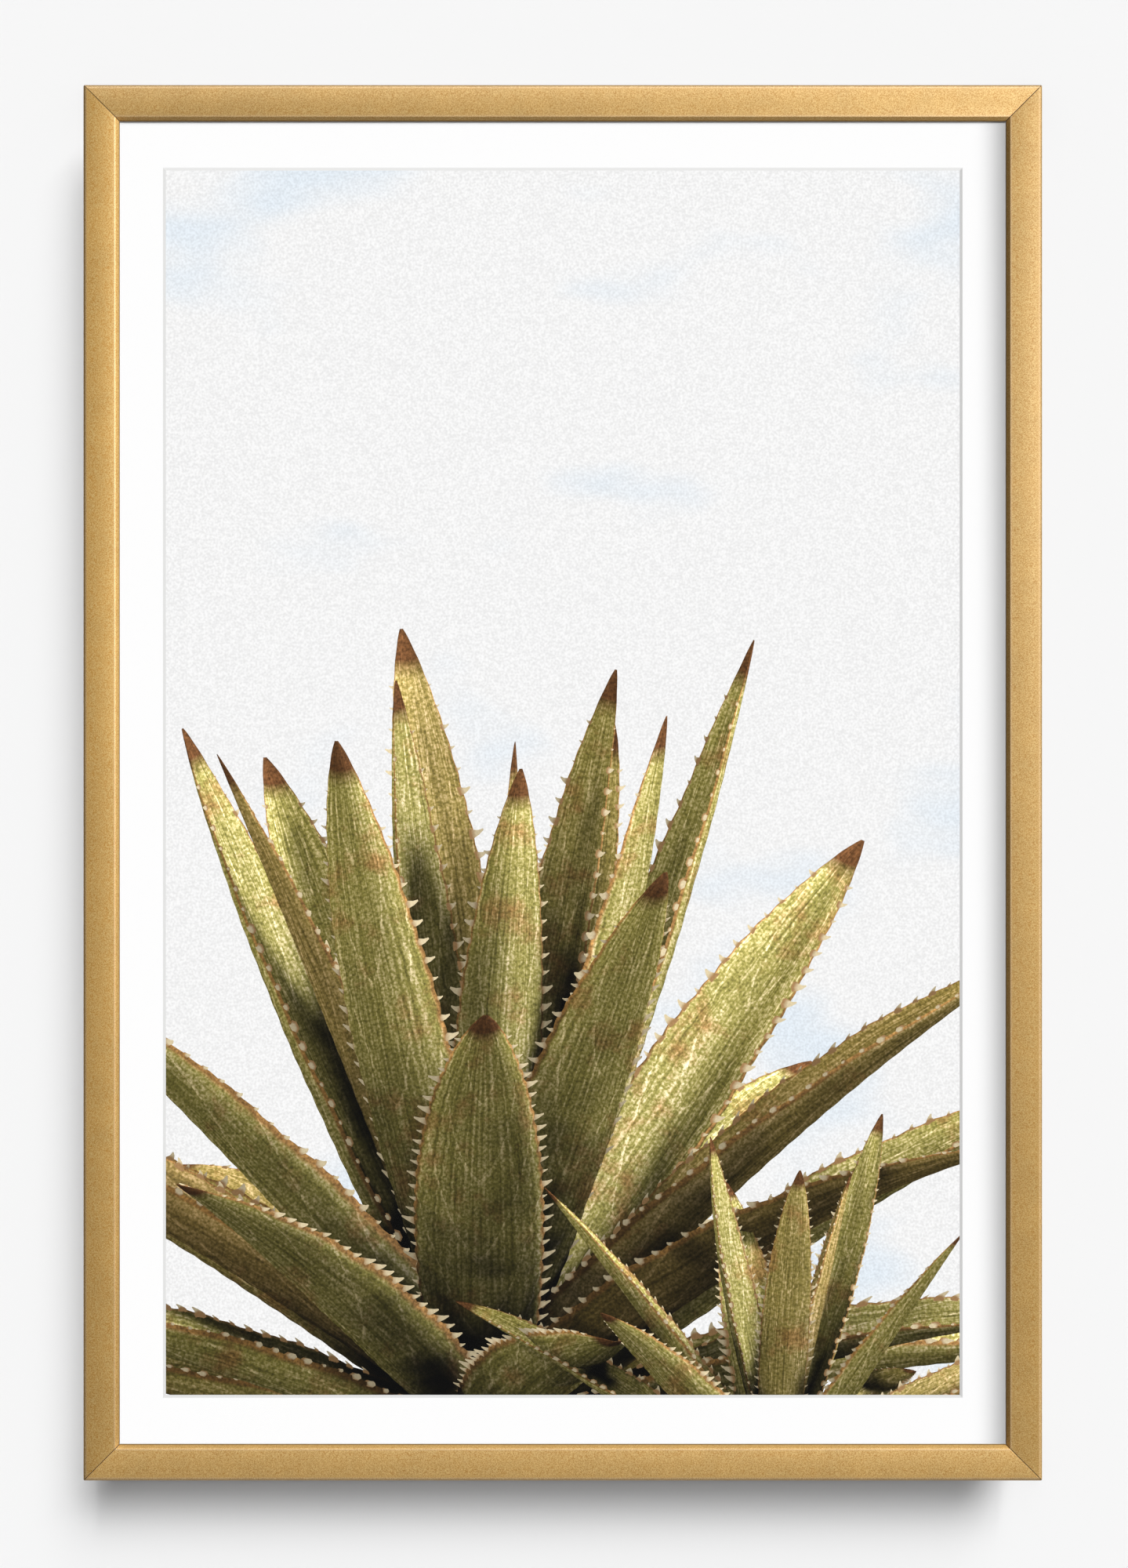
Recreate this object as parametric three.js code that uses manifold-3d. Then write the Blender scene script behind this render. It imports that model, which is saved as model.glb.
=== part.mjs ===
// Framed picture under clear acrylic, ready to hang on a wall.
//
// Four mitred mouldings hold, from the front, a clear sheet, a window mat, a print and
// a hardboard back. Bendable steel tabs, driven into the mouldings, keep the stack in
// its rabbet. An angle nail joins each mitre. A toothed steel hanger is riveted to the
// hardboard, and the head of the wall nail goes behind its bridge.
//
// Millimetres. +X is the viewer's right, +Z is up, and the picture faces -Y. The wall is
// the plane y = 0. The origin is in the middle of the top moulding's rear face.

import * as THREE from "three";
import Module from "manifold-3d";
import { mergeVertices } from "three/addons/utils/BufferGeometryUtils.js";

// ---- Driving dimensions ----

const frameWidth = 538; // over the outer edges
const frameHeight = 783;

const moulding = {
  face: 20, // width seen from the front
  depth: 22, // from the wall to the middle of the face
  crown: 0.4, // how far the middle of the face stands above its edges
  outerRadius: 1.2,
  innerRadius: 2.6,
  rabbetWidth: 6,
  rabbetDepth: 14, // from the rear face to the lip
};
const mitreGap = 0.3;

// The stack, from the lip to the rear.
const glazingThickness = 2;
const matThickness = 1.5;
const printThickness = 0.25;
const backThickness = 3;
const sheetClearance = 1; // all round, in the rabbet

const windowWidth = 449.5; // at the front of the mat; its cut slopes in at 45 degrees
const windowHeight = 691.5;

const tab = {
  width: 8,
  driven: 6, // length inside the moulding
  free: 10, // length over the back
  thickness: 0.5,
  point: 2.5, // length of the pointed end inside the moulding
};
const tabPlaces = {
  // distances from the middle of each moulding
  short: [-150, 150],
  long: [-285, -95, 95, 285],
};

const nail = {
  leg: 6, // an L in plan, one leg in each moulding
  thickness: 0.5,
  height: 7,
  sink: 0.5, // below the rear face
  setIn: 9.5, // from the outer edges to the corner of the L
};

const hanger = {
  foot: 11,
  ramp: 4,
  bridge: 38,
  height: 12,
  thickness: 1,
  lift: 4.25, // clear height under the bridge
  drop: 10, // from the back's top edge to the hanger's top edge
  cornerRadius: 3,
  toothPitch: 4,
  toothDepth: 1.6,
};
const rivet = { shank: 3.2, head: 6, headHeight: 1, shortOfPrint: 0.5 };

const cutGap = 0.3; // round whatever sits in a cut
const through = 1; // how far a cutter runs past a face
const arcSteps = 10;
const roundSteps = 24;

// ---- Sizes that follow ----

const rearLand = moulding.face - moulding.rabbetWidth; // width of the rear face
const originDrop = rearLand / 2; // from the top edge to the origin
const centreZ = originDrop - frameHeight / 2;

const sheetWidth = frameWidth - 2 * (rearLand + sheetClearance);
const sheetHeight = frameHeight - 2 * (rearLand + sheetClearance);

const glazingRear = moulding.rabbetDepth - glazingThickness; // heights above the wall
const matRear = glazingRear - matThickness;
const printRear = matRear - printThickness;
const backRear = printRear - backThickness;

const hangerTop = frameHeight / 2 - rearLand - sheetClearance - hanger.drop;
const hangerLength = hanger.bridge + 2 * (hanger.ramp + hanger.foot);
const rivetPlace = hanger.bridge / 2 + hanger.ramp + hanger.foot / 2;
const rivetZ = hangerTop - hanger.height / 2;
const rivetHole = rivet.shank / 2 + cutGap;

// ---- Materials ----

const finish = (color, roughness, metalness, extra = {}) =>
  new THREE.MeshStandardMaterial({ color, roughness, metalness, ...extra });

const goldLacquer = () => finish(0xc9a063, 0.45, 0.6);
const clearAcrylic = () => finish(0xf4f8f8, 0.05, 0, { transparent: true, opacity: 0.15 });
const matBoard = () => finish(0xfdfdfc, 0.9, 0);
const printPaper = () => finish(0xf1f3f4, 0.7, 0);
const hardboard = () => finish(0x6e5138, 0.8, 0);
const zincSteel = () => finish(0xb9bcbe, 0.35, 0.9);

// ---- Solids from geometry ----

const wasm = await Module();
wasm.setup();

function solid(geometry) {
  const bare = geometry.clone();
  bare.deleteAttribute("normal");
  bare.deleteAttribute("uv");
  const merged = mergeVertices(bare);
  return new wasm.Manifold(
    new wasm.Mesh({
      numProp: 3,
      vertProperties: new Float32Array(merged.attributes.position.array),
      triVerts: new Uint32Array(merged.index.array),
    }),
  );
}

function geometryOf(manifold) {
  const { vertProperties, triVerts } = manifold.getMesh();
  const geometry = new THREE.BufferGeometry();
  geometry.setAttribute("position", new THREE.BufferAttribute(vertProperties, 3));
  geometry.setIndex(new THREE.BufferAttribute(triVerts, 1));
  geometry.computeVertexNormals();
  return geometry;
}

function cut(geometry, cutters) {
  return geometryOf(cutters.reduce((rest, cutter) => rest.subtract(solid(cutter)), solid(geometry)));
}

function named(name, geometry, material) {
  const mesh = new THREE.Mesh(geometry, material);
  mesh.name = name;
  return mesh;
}

// A flat shape drawn in X and Z, from height low to height high above the wall.
function plate(shape, low, high) {
  const geometry = new THREE.ExtrudeGeometry(shape, {
    depth: high - low,
    bevelEnabled: false,
    curveSegments: arcSteps,
  });
  geometry.rotateX(Math.PI / 2);
  geometry.translate(0, -low, 0);
  return geometry;
}

function rectangle(width, height) {
  const shape = new THREE.Shape();
  shape.moveTo(-width / 2, -height / 2);
  shape.lineTo(width / 2, -height / 2);
  shape.lineTo(width / 2, height / 2);
  shape.lineTo(-width / 2, height / 2);
  shape.closePath();
  return shape;
}

function roundHole(x, z, radius) {
  const hole = new THREE.Path();
  hole.absarc(x, z, radius, 0, 2 * Math.PI, true);
  return hole;
}

// ---- Mouldings ----
// Each side is drawn as the top one, with its outer edge at z = reach and its length
// along X, in a group that turns it into place about the middle of the frame.

// The section: u runs from the outer edge to the inner one, v from the wall to the face.
function mouldingSection() {
  const { face, depth, crown, outerRadius, innerRadius, rabbetDepth } = moulding;
  const shoulder = depth - crown;
  const section = new THREE.Shape();
  section.moveTo(0, 0);
  section.lineTo(rearLand, 0);
  section.lineTo(rearLand, rabbetDepth);
  section.lineTo(face, rabbetDepth);
  section.absarc(face - innerRadius, shoulder - innerRadius, innerRadius, 0, Math.PI / 2, false);
  section.quadraticCurveTo(face / 2, depth + crown, outerRadius, shoulder);
  section.absarc(outerRadius, shoulder - outerRadius, outerRadius, Math.PI / 2, Math.PI, false);
  section.closePath();
  return section;
}

// A straight length of the section whose ends are sheared to the 45 degree mitre.
function mouldingGeometry(length, reach) {
  const geometry = new THREE.ExtrudeGeometry(mouldingSection(), {
    depth: length,
    bevelEnabled: false,
    curveSegments: arcSteps,
  });
  const position = geometry.attributes.position;
  const setBack = (mitreGap / 2) * Math.SQRT2;
  for (let i = 0; i < position.count; i += 1) {
    const end = position.getZ(i) > length / 2 ? 1 : -1;
    position.setZ(i, end * (length / 2 - position.getX(i) - setBack));
  }
  const down = new THREE.Vector3(0, 0, -1);
  const forward = new THREE.Vector3(0, -1, 0);
  const left = new THREE.Vector3(-1, 0, 0);
  geometry.applyMatrix4(new THREE.Matrix4().makeBasis(down, forward, left));
  geometry.translate(0, 0, reach);
  return geometry;
}

// Tab outline: pointed where it is driven in, rounded over the back.
function tabShape(place, wallZ) {
  const half = tab.width / 2;
  const shape = new THREE.Shape();
  shape.moveTo(place - half, wallZ + tab.driven - tab.point);
  shape.lineTo(place - half, wallZ - tab.free + half);
  shape.absarc(place, wallZ - tab.free + half, half, Math.PI, 2 * Math.PI, false);
  shape.lineTo(place + half, wallZ + tab.driven - tab.point);
  shape.lineTo(place, wallZ + tab.driven);
  shape.closePath();
  return shape;
}

function tabGeometry(place, reach) {
  return plate(tabShape(place, reach - rearLand), backRear - tab.thickness, backRear);
}

function tabSlot(place, reach) {
  const length = tab.driven + cutGap + through;
  const slot = new THREE.BoxGeometry(tab.width + 2 * cutGap, tab.thickness + 2 * cutGap, length);
  const top = reach - rearLand + tab.driven + cutGap;
  slot.translate(place, -(backRear - tab.thickness / 2), top - length / 2);
  return slot;
}

// The nail's L in plan, grown all round by grow. Its corner points at the rabbet, and
// its legs run to the outer edges. side is 1 at the right end and -1 at the left.
function nailShape(side, length, reach, grow) {
  const half = nail.thickness / 2 + grow;
  const leg = nail.leg + grow;
  const x = side * (length / 2 - nail.setIn);
  const z = reach - nail.setIn;
  const outline = [
    [-half, -half],
    [leg, -half],
    [leg, half],
    [half, half],
    [half, leg],
    [-half, leg],
  ];
  return new THREE.Shape(outline.map(([a, b]) => new THREE.Vector2(x + side * a, z + b)));
}

function nailGeometry(length, reach) {
  return plate(nailShape(1, length, reach, 0), nail.sink, nail.sink + nail.height);
}

function nailSlots(length, reach) {
  const deepest = nail.sink + nail.height + cutGap;
  return [-1, 1].map((side) => plate(nailShape(side, length, reach, cutGap), -through, deepest));
}

// ---- Hanger and rivets ----

// Side view of the bent strip, in X and height above the wall: flat feet on the back,
// ramps, and a level bridge.
function hangerSideView() {
  const { foot, ramp, bridge, thickness, lift } = hanger;
  const low = backRear;
  const high = backRear - lift;
  const inner = bridge / 2;
  const outer = inner + ramp;
  const end = outer + foot;
  const upper = [
    [-end, low],
    [-outer, low],
    [-inner, high],
    [inner, high],
    [outer, low],
    [end, low],
  ];
  const lower = upper.map(([x, v]) => [x, v - thickness]).reverse();
  return new THREE.Shape([...upper, ...lower].map(([x, v]) => new THREE.Vector2(x, -v)));
}

// Front view of the strip: round corners, rivet holes, and teeth along the lower edge.
function hangerFrontView() {
  const { height, cornerRadius: r, toothPitch, toothDepth, bridge } = hanger;
  const half = hangerLength / 2;
  const top = hangerTop;
  const bottom = hangerTop - height;
  const teeth = Math.floor((bridge - toothPitch) / toothPitch);
  const firstTooth = (-teeth * toothPitch) / 2;
  const shape = new THREE.Shape();
  shape.moveTo(-half, bottom + r);
  shape.absarc(-half + r, bottom + r, r, Math.PI, 1.5 * Math.PI, false);
  for (let i = 0; i < teeth; i += 1) {
    const start = firstTooth + i * toothPitch;
    shape.lineTo(start, bottom);
    shape.lineTo(start + toothPitch / 2, bottom + toothDepth);
  }
  shape.lineTo(-firstTooth, bottom);
  shape.absarc(half - r, bottom + r, r, 1.5 * Math.PI, 2 * Math.PI, false);
  shape.absarc(half - r, top - r, r, 0, Math.PI / 2, false);
  shape.absarc(-half + r, top - r, r, Math.PI / 2, Math.PI, false);
  shape.closePath();
  shape.holes.push(roundHole(-rivetPlace, rivetZ, rivetHole));
  shape.holes.push(roundHole(rivetPlace, rivetZ, rivetHole));
  return shape;
}

function hangerGeometry() {
  const strip = new THREE.ExtrudeGeometry(hangerSideView(), {
    depth: hanger.height + 2 * through,
    bevelEnabled: false,
  });
  strip.translate(0, 0, hangerTop - hanger.height - through);
  const outline = plate(hangerFrontView(), 0, backRear + through);
  return geometryOf(solid(strip).intersect(solid(outline)));
}

// Turned about its own axis: a straight shank through foot and back, and a low dome.
function rivetGeometry() {
  const underHead = -(backRear - hanger.thickness);
  const tip = -(printRear - rivet.shortOfPrint);
  const profile = [
    [0, tip],
    [rivet.shank / 2, tip],
    [rivet.shank / 2, underHead],
    [rivet.head / 2, underHead],
  ];
  for (let i = 1; i <= arcSteps; i += 1) {
    const angle = (i / arcSteps) * (Math.PI / 2);
    const r = i === arcSteps ? 0 : (rivet.head / 2) * Math.cos(angle);
    profile.push([r, underHead + rivet.headHeight * Math.sin(angle)]);
  }
  const points = profile.map(([r, y]) => new THREE.Vector2(r, y));
  return new THREE.LatheGeometry(points, roundSteps);
}

// ---- Sheets ----

// The window's front edge is spread outwards by the mat's thickness, a 45 degree cut.
function matGeometry() {
  const rearWidth = windowWidth - 2 * matThickness;
  const rearHeight = windowHeight - 2 * matThickness;
  const shape = rectangle(sheetWidth, sheetHeight);
  shape.holes.push(rectangle(rearWidth, rearHeight));
  const geometry = plate(shape, matRear, glazingRear);
  const position = geometry.attributes.position;
  const middle = -(matRear + glazingRear) / 2;
  for (let i = 0; i < position.count; i += 1) {
    const [x, y, z] = [position.getX(i), position.getY(i), position.getZ(i)];
    if (y < middle && Math.abs(x) < windowWidth / 2 && Math.abs(z) < windowHeight / 2) {
      position.setX(i, x + Math.sign(x) * matThickness);
      position.setZ(i, z + Math.sign(z) * matThickness);
    }
  }
  return geometry;
}

function backGeometry() {
  const shape = rectangle(sheetWidth, sheetHeight);
  shape.holes.push(roundHole(-rivetPlace, rivetZ, rivetHole));
  shape.holes.push(roundHole(rivetPlace, rivetZ, rivetHole));
  return plate(shape, backRear, printRear);
}

// ---- Assembly, about the middle of the frame ----

const picture = new THREE.Group();
picture.position.set(0, 0, centreZ);

const sides = [
  { name: "top", length: frameWidth, reach: frameHeight / 2, corner: "top_right" },
  { name: "right", length: frameHeight, reach: frameWidth / 2, corner: "bottom_right" },
  { name: "bottom", length: frameWidth, reach: frameHeight / 2, corner: "bottom_left" },
  { name: "left", length: frameHeight, reach: frameWidth / 2, corner: "top_left" },
];

sides.forEach(({ name, length, reach, corner }, turn) => {
  const side = new THREE.Group();
  side.rotation.y = (turn * Math.PI) / 2;
  const places = length > frameWidth ? tabPlaces.long : tabPlaces.short;
  const cutters = [...nailSlots(length, reach), ...places.map((place) => tabSlot(place, reach))];
  side.add(named(`rail_${name}`, cut(mouldingGeometry(length, reach), cutters), goldLacquer()));
  places.forEach((place, i) => {
    side.add(named(`tab_${name}_${i + 1}`, tabGeometry(place, reach), zincSteel()));
  });
  side.add(named(`corner_nail_${corner}`, nailGeometry(length, reach), zincSteel()));
  picture.add(side);
});

const sheet = rectangle(sheetWidth, sheetHeight);
picture.add(named("glazing", plate(sheet, glazingRear, moulding.rabbetDepth), clearAcrylic()));
picture.add(named("mat", matGeometry(), matBoard()));
picture.add(named("print", plate(sheet, printRear, matRear), printPaper()));
picture.add(named("backing_board", backGeometry(), hardboard()));
picture.add(named("hanger", hangerGeometry(), zincSteel()));

[
  ["left", -rivetPlace],
  ["right", rivetPlace],
].forEach(([name, x]) => {
  const pin = named(`rivet_${name}`, rivetGeometry(), zincSteel());
  pin.position.set(x, 0, rivetZ);
  picture.add(pin);
});

const object = new THREE.Group();
object.add(picture);

export default object;
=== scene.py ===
"""Framed picture: the looks of a gold-framed plant print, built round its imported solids.

Four lacquered wood mouldings, a clear sheet, a white window mat, a print of an agave
against a pale sky, a hardboard back, bent steel tabs, corner nails and a toothed hanger.
Metres, +Z up, the picture faces -Y and the wall is the plane y = 0.
"""

from math import pi, radians

import bmesh
import bpy
import numpy as np
from bpy.props import FloatProperty, FloatVectorProperty, IntProperty, PointerProperty
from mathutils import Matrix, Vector


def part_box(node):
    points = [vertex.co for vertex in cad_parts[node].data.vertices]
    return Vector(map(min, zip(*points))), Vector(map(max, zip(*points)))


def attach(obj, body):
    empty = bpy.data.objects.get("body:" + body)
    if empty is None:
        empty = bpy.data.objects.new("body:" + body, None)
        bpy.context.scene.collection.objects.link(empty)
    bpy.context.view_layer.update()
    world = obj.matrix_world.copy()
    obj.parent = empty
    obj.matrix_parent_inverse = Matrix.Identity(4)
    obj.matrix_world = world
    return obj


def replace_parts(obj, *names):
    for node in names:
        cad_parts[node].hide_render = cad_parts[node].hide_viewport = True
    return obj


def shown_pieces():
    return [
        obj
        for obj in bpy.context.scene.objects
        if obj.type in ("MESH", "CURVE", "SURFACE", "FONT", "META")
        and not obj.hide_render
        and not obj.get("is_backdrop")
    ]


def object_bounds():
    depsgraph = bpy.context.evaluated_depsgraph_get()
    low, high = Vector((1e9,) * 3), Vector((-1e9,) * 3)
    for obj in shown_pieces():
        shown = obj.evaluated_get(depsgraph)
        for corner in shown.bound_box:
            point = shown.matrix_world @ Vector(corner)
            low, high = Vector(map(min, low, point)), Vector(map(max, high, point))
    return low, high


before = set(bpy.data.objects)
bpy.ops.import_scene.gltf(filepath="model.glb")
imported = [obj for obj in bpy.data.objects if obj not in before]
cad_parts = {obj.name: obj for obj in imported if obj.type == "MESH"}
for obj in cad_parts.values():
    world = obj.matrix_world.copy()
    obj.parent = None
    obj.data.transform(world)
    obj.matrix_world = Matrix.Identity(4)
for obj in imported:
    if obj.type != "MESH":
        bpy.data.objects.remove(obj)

CAD_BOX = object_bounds()

bl_info = {
    "name": "Framed Picture",
    "version": (1, 0, 0),
    "blender": (4, 5, 0),
    "location": "View3D > Sidebar > Picture",
    "description": "Finishes a gold-framed print: moulding, mat, print, back and hanger",
    "category": "Object",
}

MM = 0.001

# ---- Places taken from the frame ----

LOW, HIGH = Vector(CAD_BOX[0]), Vector(CAD_BOX[1])
CENTRE = (LOW + HIGH) / 2
OUTER_WIDTH = HIGH.x - LOW.x
OUTER_HEIGHT = HIGH.z - LOW.z
DEPTH = -LOW.y

RAIL_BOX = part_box("rail_top")
FACE = RAIL_BOX[1].z - RAIL_BOX[0].z
GLAZING_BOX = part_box("glazing")
LIP_REAR = -GLAZING_BOX[0].y  # height of the lip's rear above the wall
PRINT_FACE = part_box("print")[0].y
HANGER_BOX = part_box("hanger")


def mat_window():
    """Half width, half height of the window's rear edge: the mat's innermost points."""
    co = np.array([v.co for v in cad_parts["mat"].data.vertices])
    x = np.abs(co[:, 0] - CENTRE.x)
    z = np.abs(co[:, 2] - CENTRE.z)
    return x.min(), z.min()


WINDOW_X, WINDOW_Z = mat_window()


# ---- Colour and node helpers ----

NOISE_SPAN = {"From Min": 0.3, "From Max": 0.7}  # nearly all of a noise's values lie here


def linear(hex_colour):
    """sRGB hex to linear: c / 12.92 below 0.04045, else ((c + 0.055) / 1.055) ^ 2.4."""
    digits = hex_colour.lstrip("#")
    srgb = np.array([int(digits[i : i + 2], 16) for i in (0, 2, 4)]) / 255
    lin = np.where(srgb <= 0.04045, srgb / 12.92, ((srgb + 0.055) / 1.055) ** 2.4)
    return (*lin.tolist(), 1.0)


def add(tree, kind, sockets=None, **settings):
    """Adds one node with its settings. A socket takes a plain value, an output, or a node,
    which stands for its first output in use. A colour mix takes its factor and its two
    colours at 0, 6 and 7."""
    made = tree.nodes.new(kind)
    for name, value in settings.items():
        setattr(made, name, value)
    for name, value in (sockets or {}).items():
        if isinstance(value, bpy.types.Node):
            value = next(output for output in value.outputs if output.enabled)
        if isinstance(value, bpy.types.NodeSocket):
            tree.links.new(value, made.inputs[name])
        else:
            made.inputs[name].default_value = value
    return made


def new_material(name):
    """An empty material and its tree."""
    material = bpy.data.materials.new(name)
    material.use_nodes = True
    tree = material.node_tree
    tree.nodes.clear()
    return material, tree


# ---- Mesh helpers ----


def loft(rings, pointed=False):
    """Closed rings joined one to the next. Corner (i, j) is place j of ring i, and the
    places wrap round. One flat face closes the first ring, and the last ring too, or a
    fan to its mean does where the shape is pointed. Returns vertices, faces and, for
    each face, the place j it starts at (-1 at the ends)."""
    count, around = rings.shape[:2]
    vertices = rings.reshape(-1, 3)
    i, j = np.meshgrid(np.arange(count - 1), np.arange(around), indexing="ij")
    nxt = (j + 1) % around
    corners = [i * around + j, i * around + nxt, (i + 1) * around + nxt, (i + 1) * around + j]
    faces = np.stack(corners, -1).reshape(-1, 4).tolist()
    starts = j.ravel().tolist()
    first = np.arange(around)
    last = first + (count - 1) * around
    faces.append(first[::-1].tolist())
    if pointed:
        faces += np.stack([last, np.roll(last, -1), np.full(around, len(vertices))], -1).tolist()
        vertices = np.vstack([vertices, rings[-1].mean(0)])
    else:
        faces.append(last.tolist())
    starts += [-1] * (len(faces) - len(starts))
    return vertices, faces, starts


def piece(name, vertices, faces, materials,
          indices=None, uv=None, values=None, trim=None):
    """A smooth-shaded mesh object that rides on the frame, or None where trim leaves
    nothing of it. uv holds one pair for each vertex, and values one float array for each
    named attribute. Edges steeper than 35 degrees stay crisp."""
    mesh = bpy.data.meshes.new(name)
    mesh.from_pydata(vertices, [], faces)
    if uv is not None:
        corners = np.zeros(len(mesh.loops), np.int32)
        mesh.loops.foreach_get("vertex_index", corners)
        mesh.uv_layers.new(name="surface").data.foreach_set("uv", uv[corners].ravel())
    for key, numbers in (values or {}).items():
        attribute = mesh.attributes.new(key, "FLOAT", "POINT")
        attribute.data.foreach_set("value", numbers.astype(np.float32).ravel())
    for material in materials:
        mesh.materials.append(material)
    if indices is not None:
        mesh.polygons.foreach_set("material_index", indices)
    edit = bmesh.new()
    edit.from_mesh(mesh)
    bmesh.ops.recalc_face_normals(edit, faces=edit.faces)
    if trim:
        trim(edit)
    edit.to_mesh(mesh)
    edit.free()
    if not mesh.polygons:
        bpy.data.meshes.remove(mesh)
        return None
    mesh.polygons.foreach_set("use_smooth", np.ones(len(mesh.polygons), bool))
    mesh.set_sharp_from_angle(angle=radians(35))
    made = bpy.data.objects.new(name, mesh)
    bpy.context.scene.collection.objects.link(made)
    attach(made, "root")
    return made


def stand_in(node, name, rings, material):
    """Rings joined with flat ends, as a piece that stands for a solid."""
    vertices, faces, _ = loft(rings)
    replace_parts(piece(name, vertices, faces, [material]), node)


def finish_node(node, material):
    """Gives a solid that is already the right shape its real finish."""
    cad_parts[node].material_slots[0].material = material


# ---- Settings ----


class MouldingSettings(bpy.types.PropertyGroup):
    outer_radius: FloatProperty(
        name="Outer Radius", description="Rounding of the outer front edge",
        default=2.2 * MM, unit="LENGTH")
    bevel_width: FloatProperty(
        name="Bevel Width", description="Width of the sight edge's bevel, seen from the front",
        default=2.1 * MM, unit="LENGTH")
    bevel_drop: FloatProperty(
        name="Bevel Drop", description="How far the sight edge's bevel falls towards the wall",
        default=2.6 * MM, unit="LENGTH")
    bevel_radius: FloatProperty(
        name="Bevel Radius", description="Softening of both of the bevel's edges",
        default=0.4 * MM, unit="LENGTH")
    crown: FloatProperty(
        name="Crown", description="Height of the face's middle above its edges",
        default=0.4 * MM, unit="LENGTH")
    joint_gap: FloatProperty(
        name="Joint Gap", description="Width of the glue line at each mitre",
        default=0.5 * MM, unit="LENGTH")
    joint_radius: FloatProperty(
        name="Joint Radius", description="Softening of the cut edges at each mitre",
        default=0.2 * MM, unit="LENGTH")
    lacquer: FloatVectorProperty(
        name="Lacquer", description="Colour of the metallic lacquer",
        size=4, subtype="COLOR", default=linear("#D7AB5D"))
    # Painted highlight: the paler lacquer colour laid on the edges' corners.
    rubbed: FloatVectorProperty(
        name="Rubbed Edges", description="Colour of the lacquer where handling has rubbed it",
        size=4, subtype="COLOR", default=linear("#E2BC80"))
    # Glue colour, dark partly with dust and partly as painted shade of the mitre groove.
    glue_and_shade: FloatVectorProperty(
        name="Joint Glue", description="Colour of the darkened glue in the mitres",
        size=4, subtype="COLOR", default=linear("#5B452B"))
    wood: FloatVectorProperty(
        name="Bare Wood", description="Colour of the unfinished wood at the rear",
        size=4, subtype="COLOR", default=linear("#D6BC8F"))


class MatSettings(bpy.types.PropertyGroup):
    board: FloatVectorProperty(
        name="Board", description="Colour of the mat's facing paper",
        size=4, subtype="COLOR", default=linear("#FDFDFD"))
    core: FloatVectorProperty(
        name="Core", description="Colour of the cut bevel",
        size=4, subtype="COLOR", default=linear("#EDEDEC"))


class PrintSettings(bpy.types.PropertyGroup):
    sky: FloatVectorProperty(
        name="Sky", description="Pale printed sky",
        size=4, subtype="COLOR", default=linear("#F3F3F3"))
    cloud_gap: FloatVectorProperty(
        name="Cloud Gaps", description="Pale blue between the printed clouds",
        size=4, subtype="COLOR", default=linear("#E2EBF3"))


class PlantSettings(bpy.types.PropertyGroup):
    leaves: IntProperty(
        name="Leaves", description="Leaves in the printed rosette", default=32, min=3)
    leaf_length: FloatProperty(
        name="Leaf Length", description="Printed length of the longest leaf",
        default=410 * MM, unit="LENGTH")
    leaf_width: FloatProperty(
        name="Leaf Width", description="Printed width of the widest leaf",
        default=72 * MM, unit="LENGTH")
    offset: FloatProperty(
        name="Offset", description="How far left of the middle the rosette grows",
        default=44 * MM, unit="LENGTH")
    pup_leaves: IntProperty(
        name="Young Leaves", description="Leaves in the young plant beside it", default=14, min=3)
    pup_size: FloatProperty(
        name="Young Size", description="The young plant's size beside the old one's",
        default=0.5, subtype="FACTOR")
    relief: FloatProperty(
        name="Relief", description="Depth that the printed layers are spread over",
        default=0.8 * MM, unit="LENGTH")
    leaf: FloatVectorProperty(
        name="Leaf", description="Printed leaf colour in full light",
        size=4, subtype="COLOR", default=linear("#BAB66D"))
    bloom: FloatVectorProperty(
        name="Bloom", description="Printed wax bloom on the fibres",
        size=4, subtype="COLOR", default=linear("#D8CEB6"))
    scar: FloatVectorProperty(
        name="Scar", description="Printed tan blotches and dry margins",
        size=4, subtype="COLOR", default=linear("#B48C5E"))
    spine: FloatVectorProperty(
        name="Spine", description="Printed spine at each leaf's tip",
        size=4, subtype="COLOR", default=linear("#6B4A33"))
    tooth: FloatVectorProperty(
        name="Tooth", description="Printed cream teeth",
        size=4, subtype="COLOR", default=linear("#EAD8B0"))


class BackSettings(bpy.types.PropertyGroup):
    hardboard: FloatVectorProperty(
        name="Hardboard", description="Colour of the pressed fibre back",
        size=4, subtype="COLOR", default=linear("#9A7650"))
    zinc: FloatVectorProperty(
        name="Zinc", description="Colour of the plated steel hardware",
        size=4, subtype="COLOR", default=linear("#C9CCCF"))


# ---- Materials ----


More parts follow.
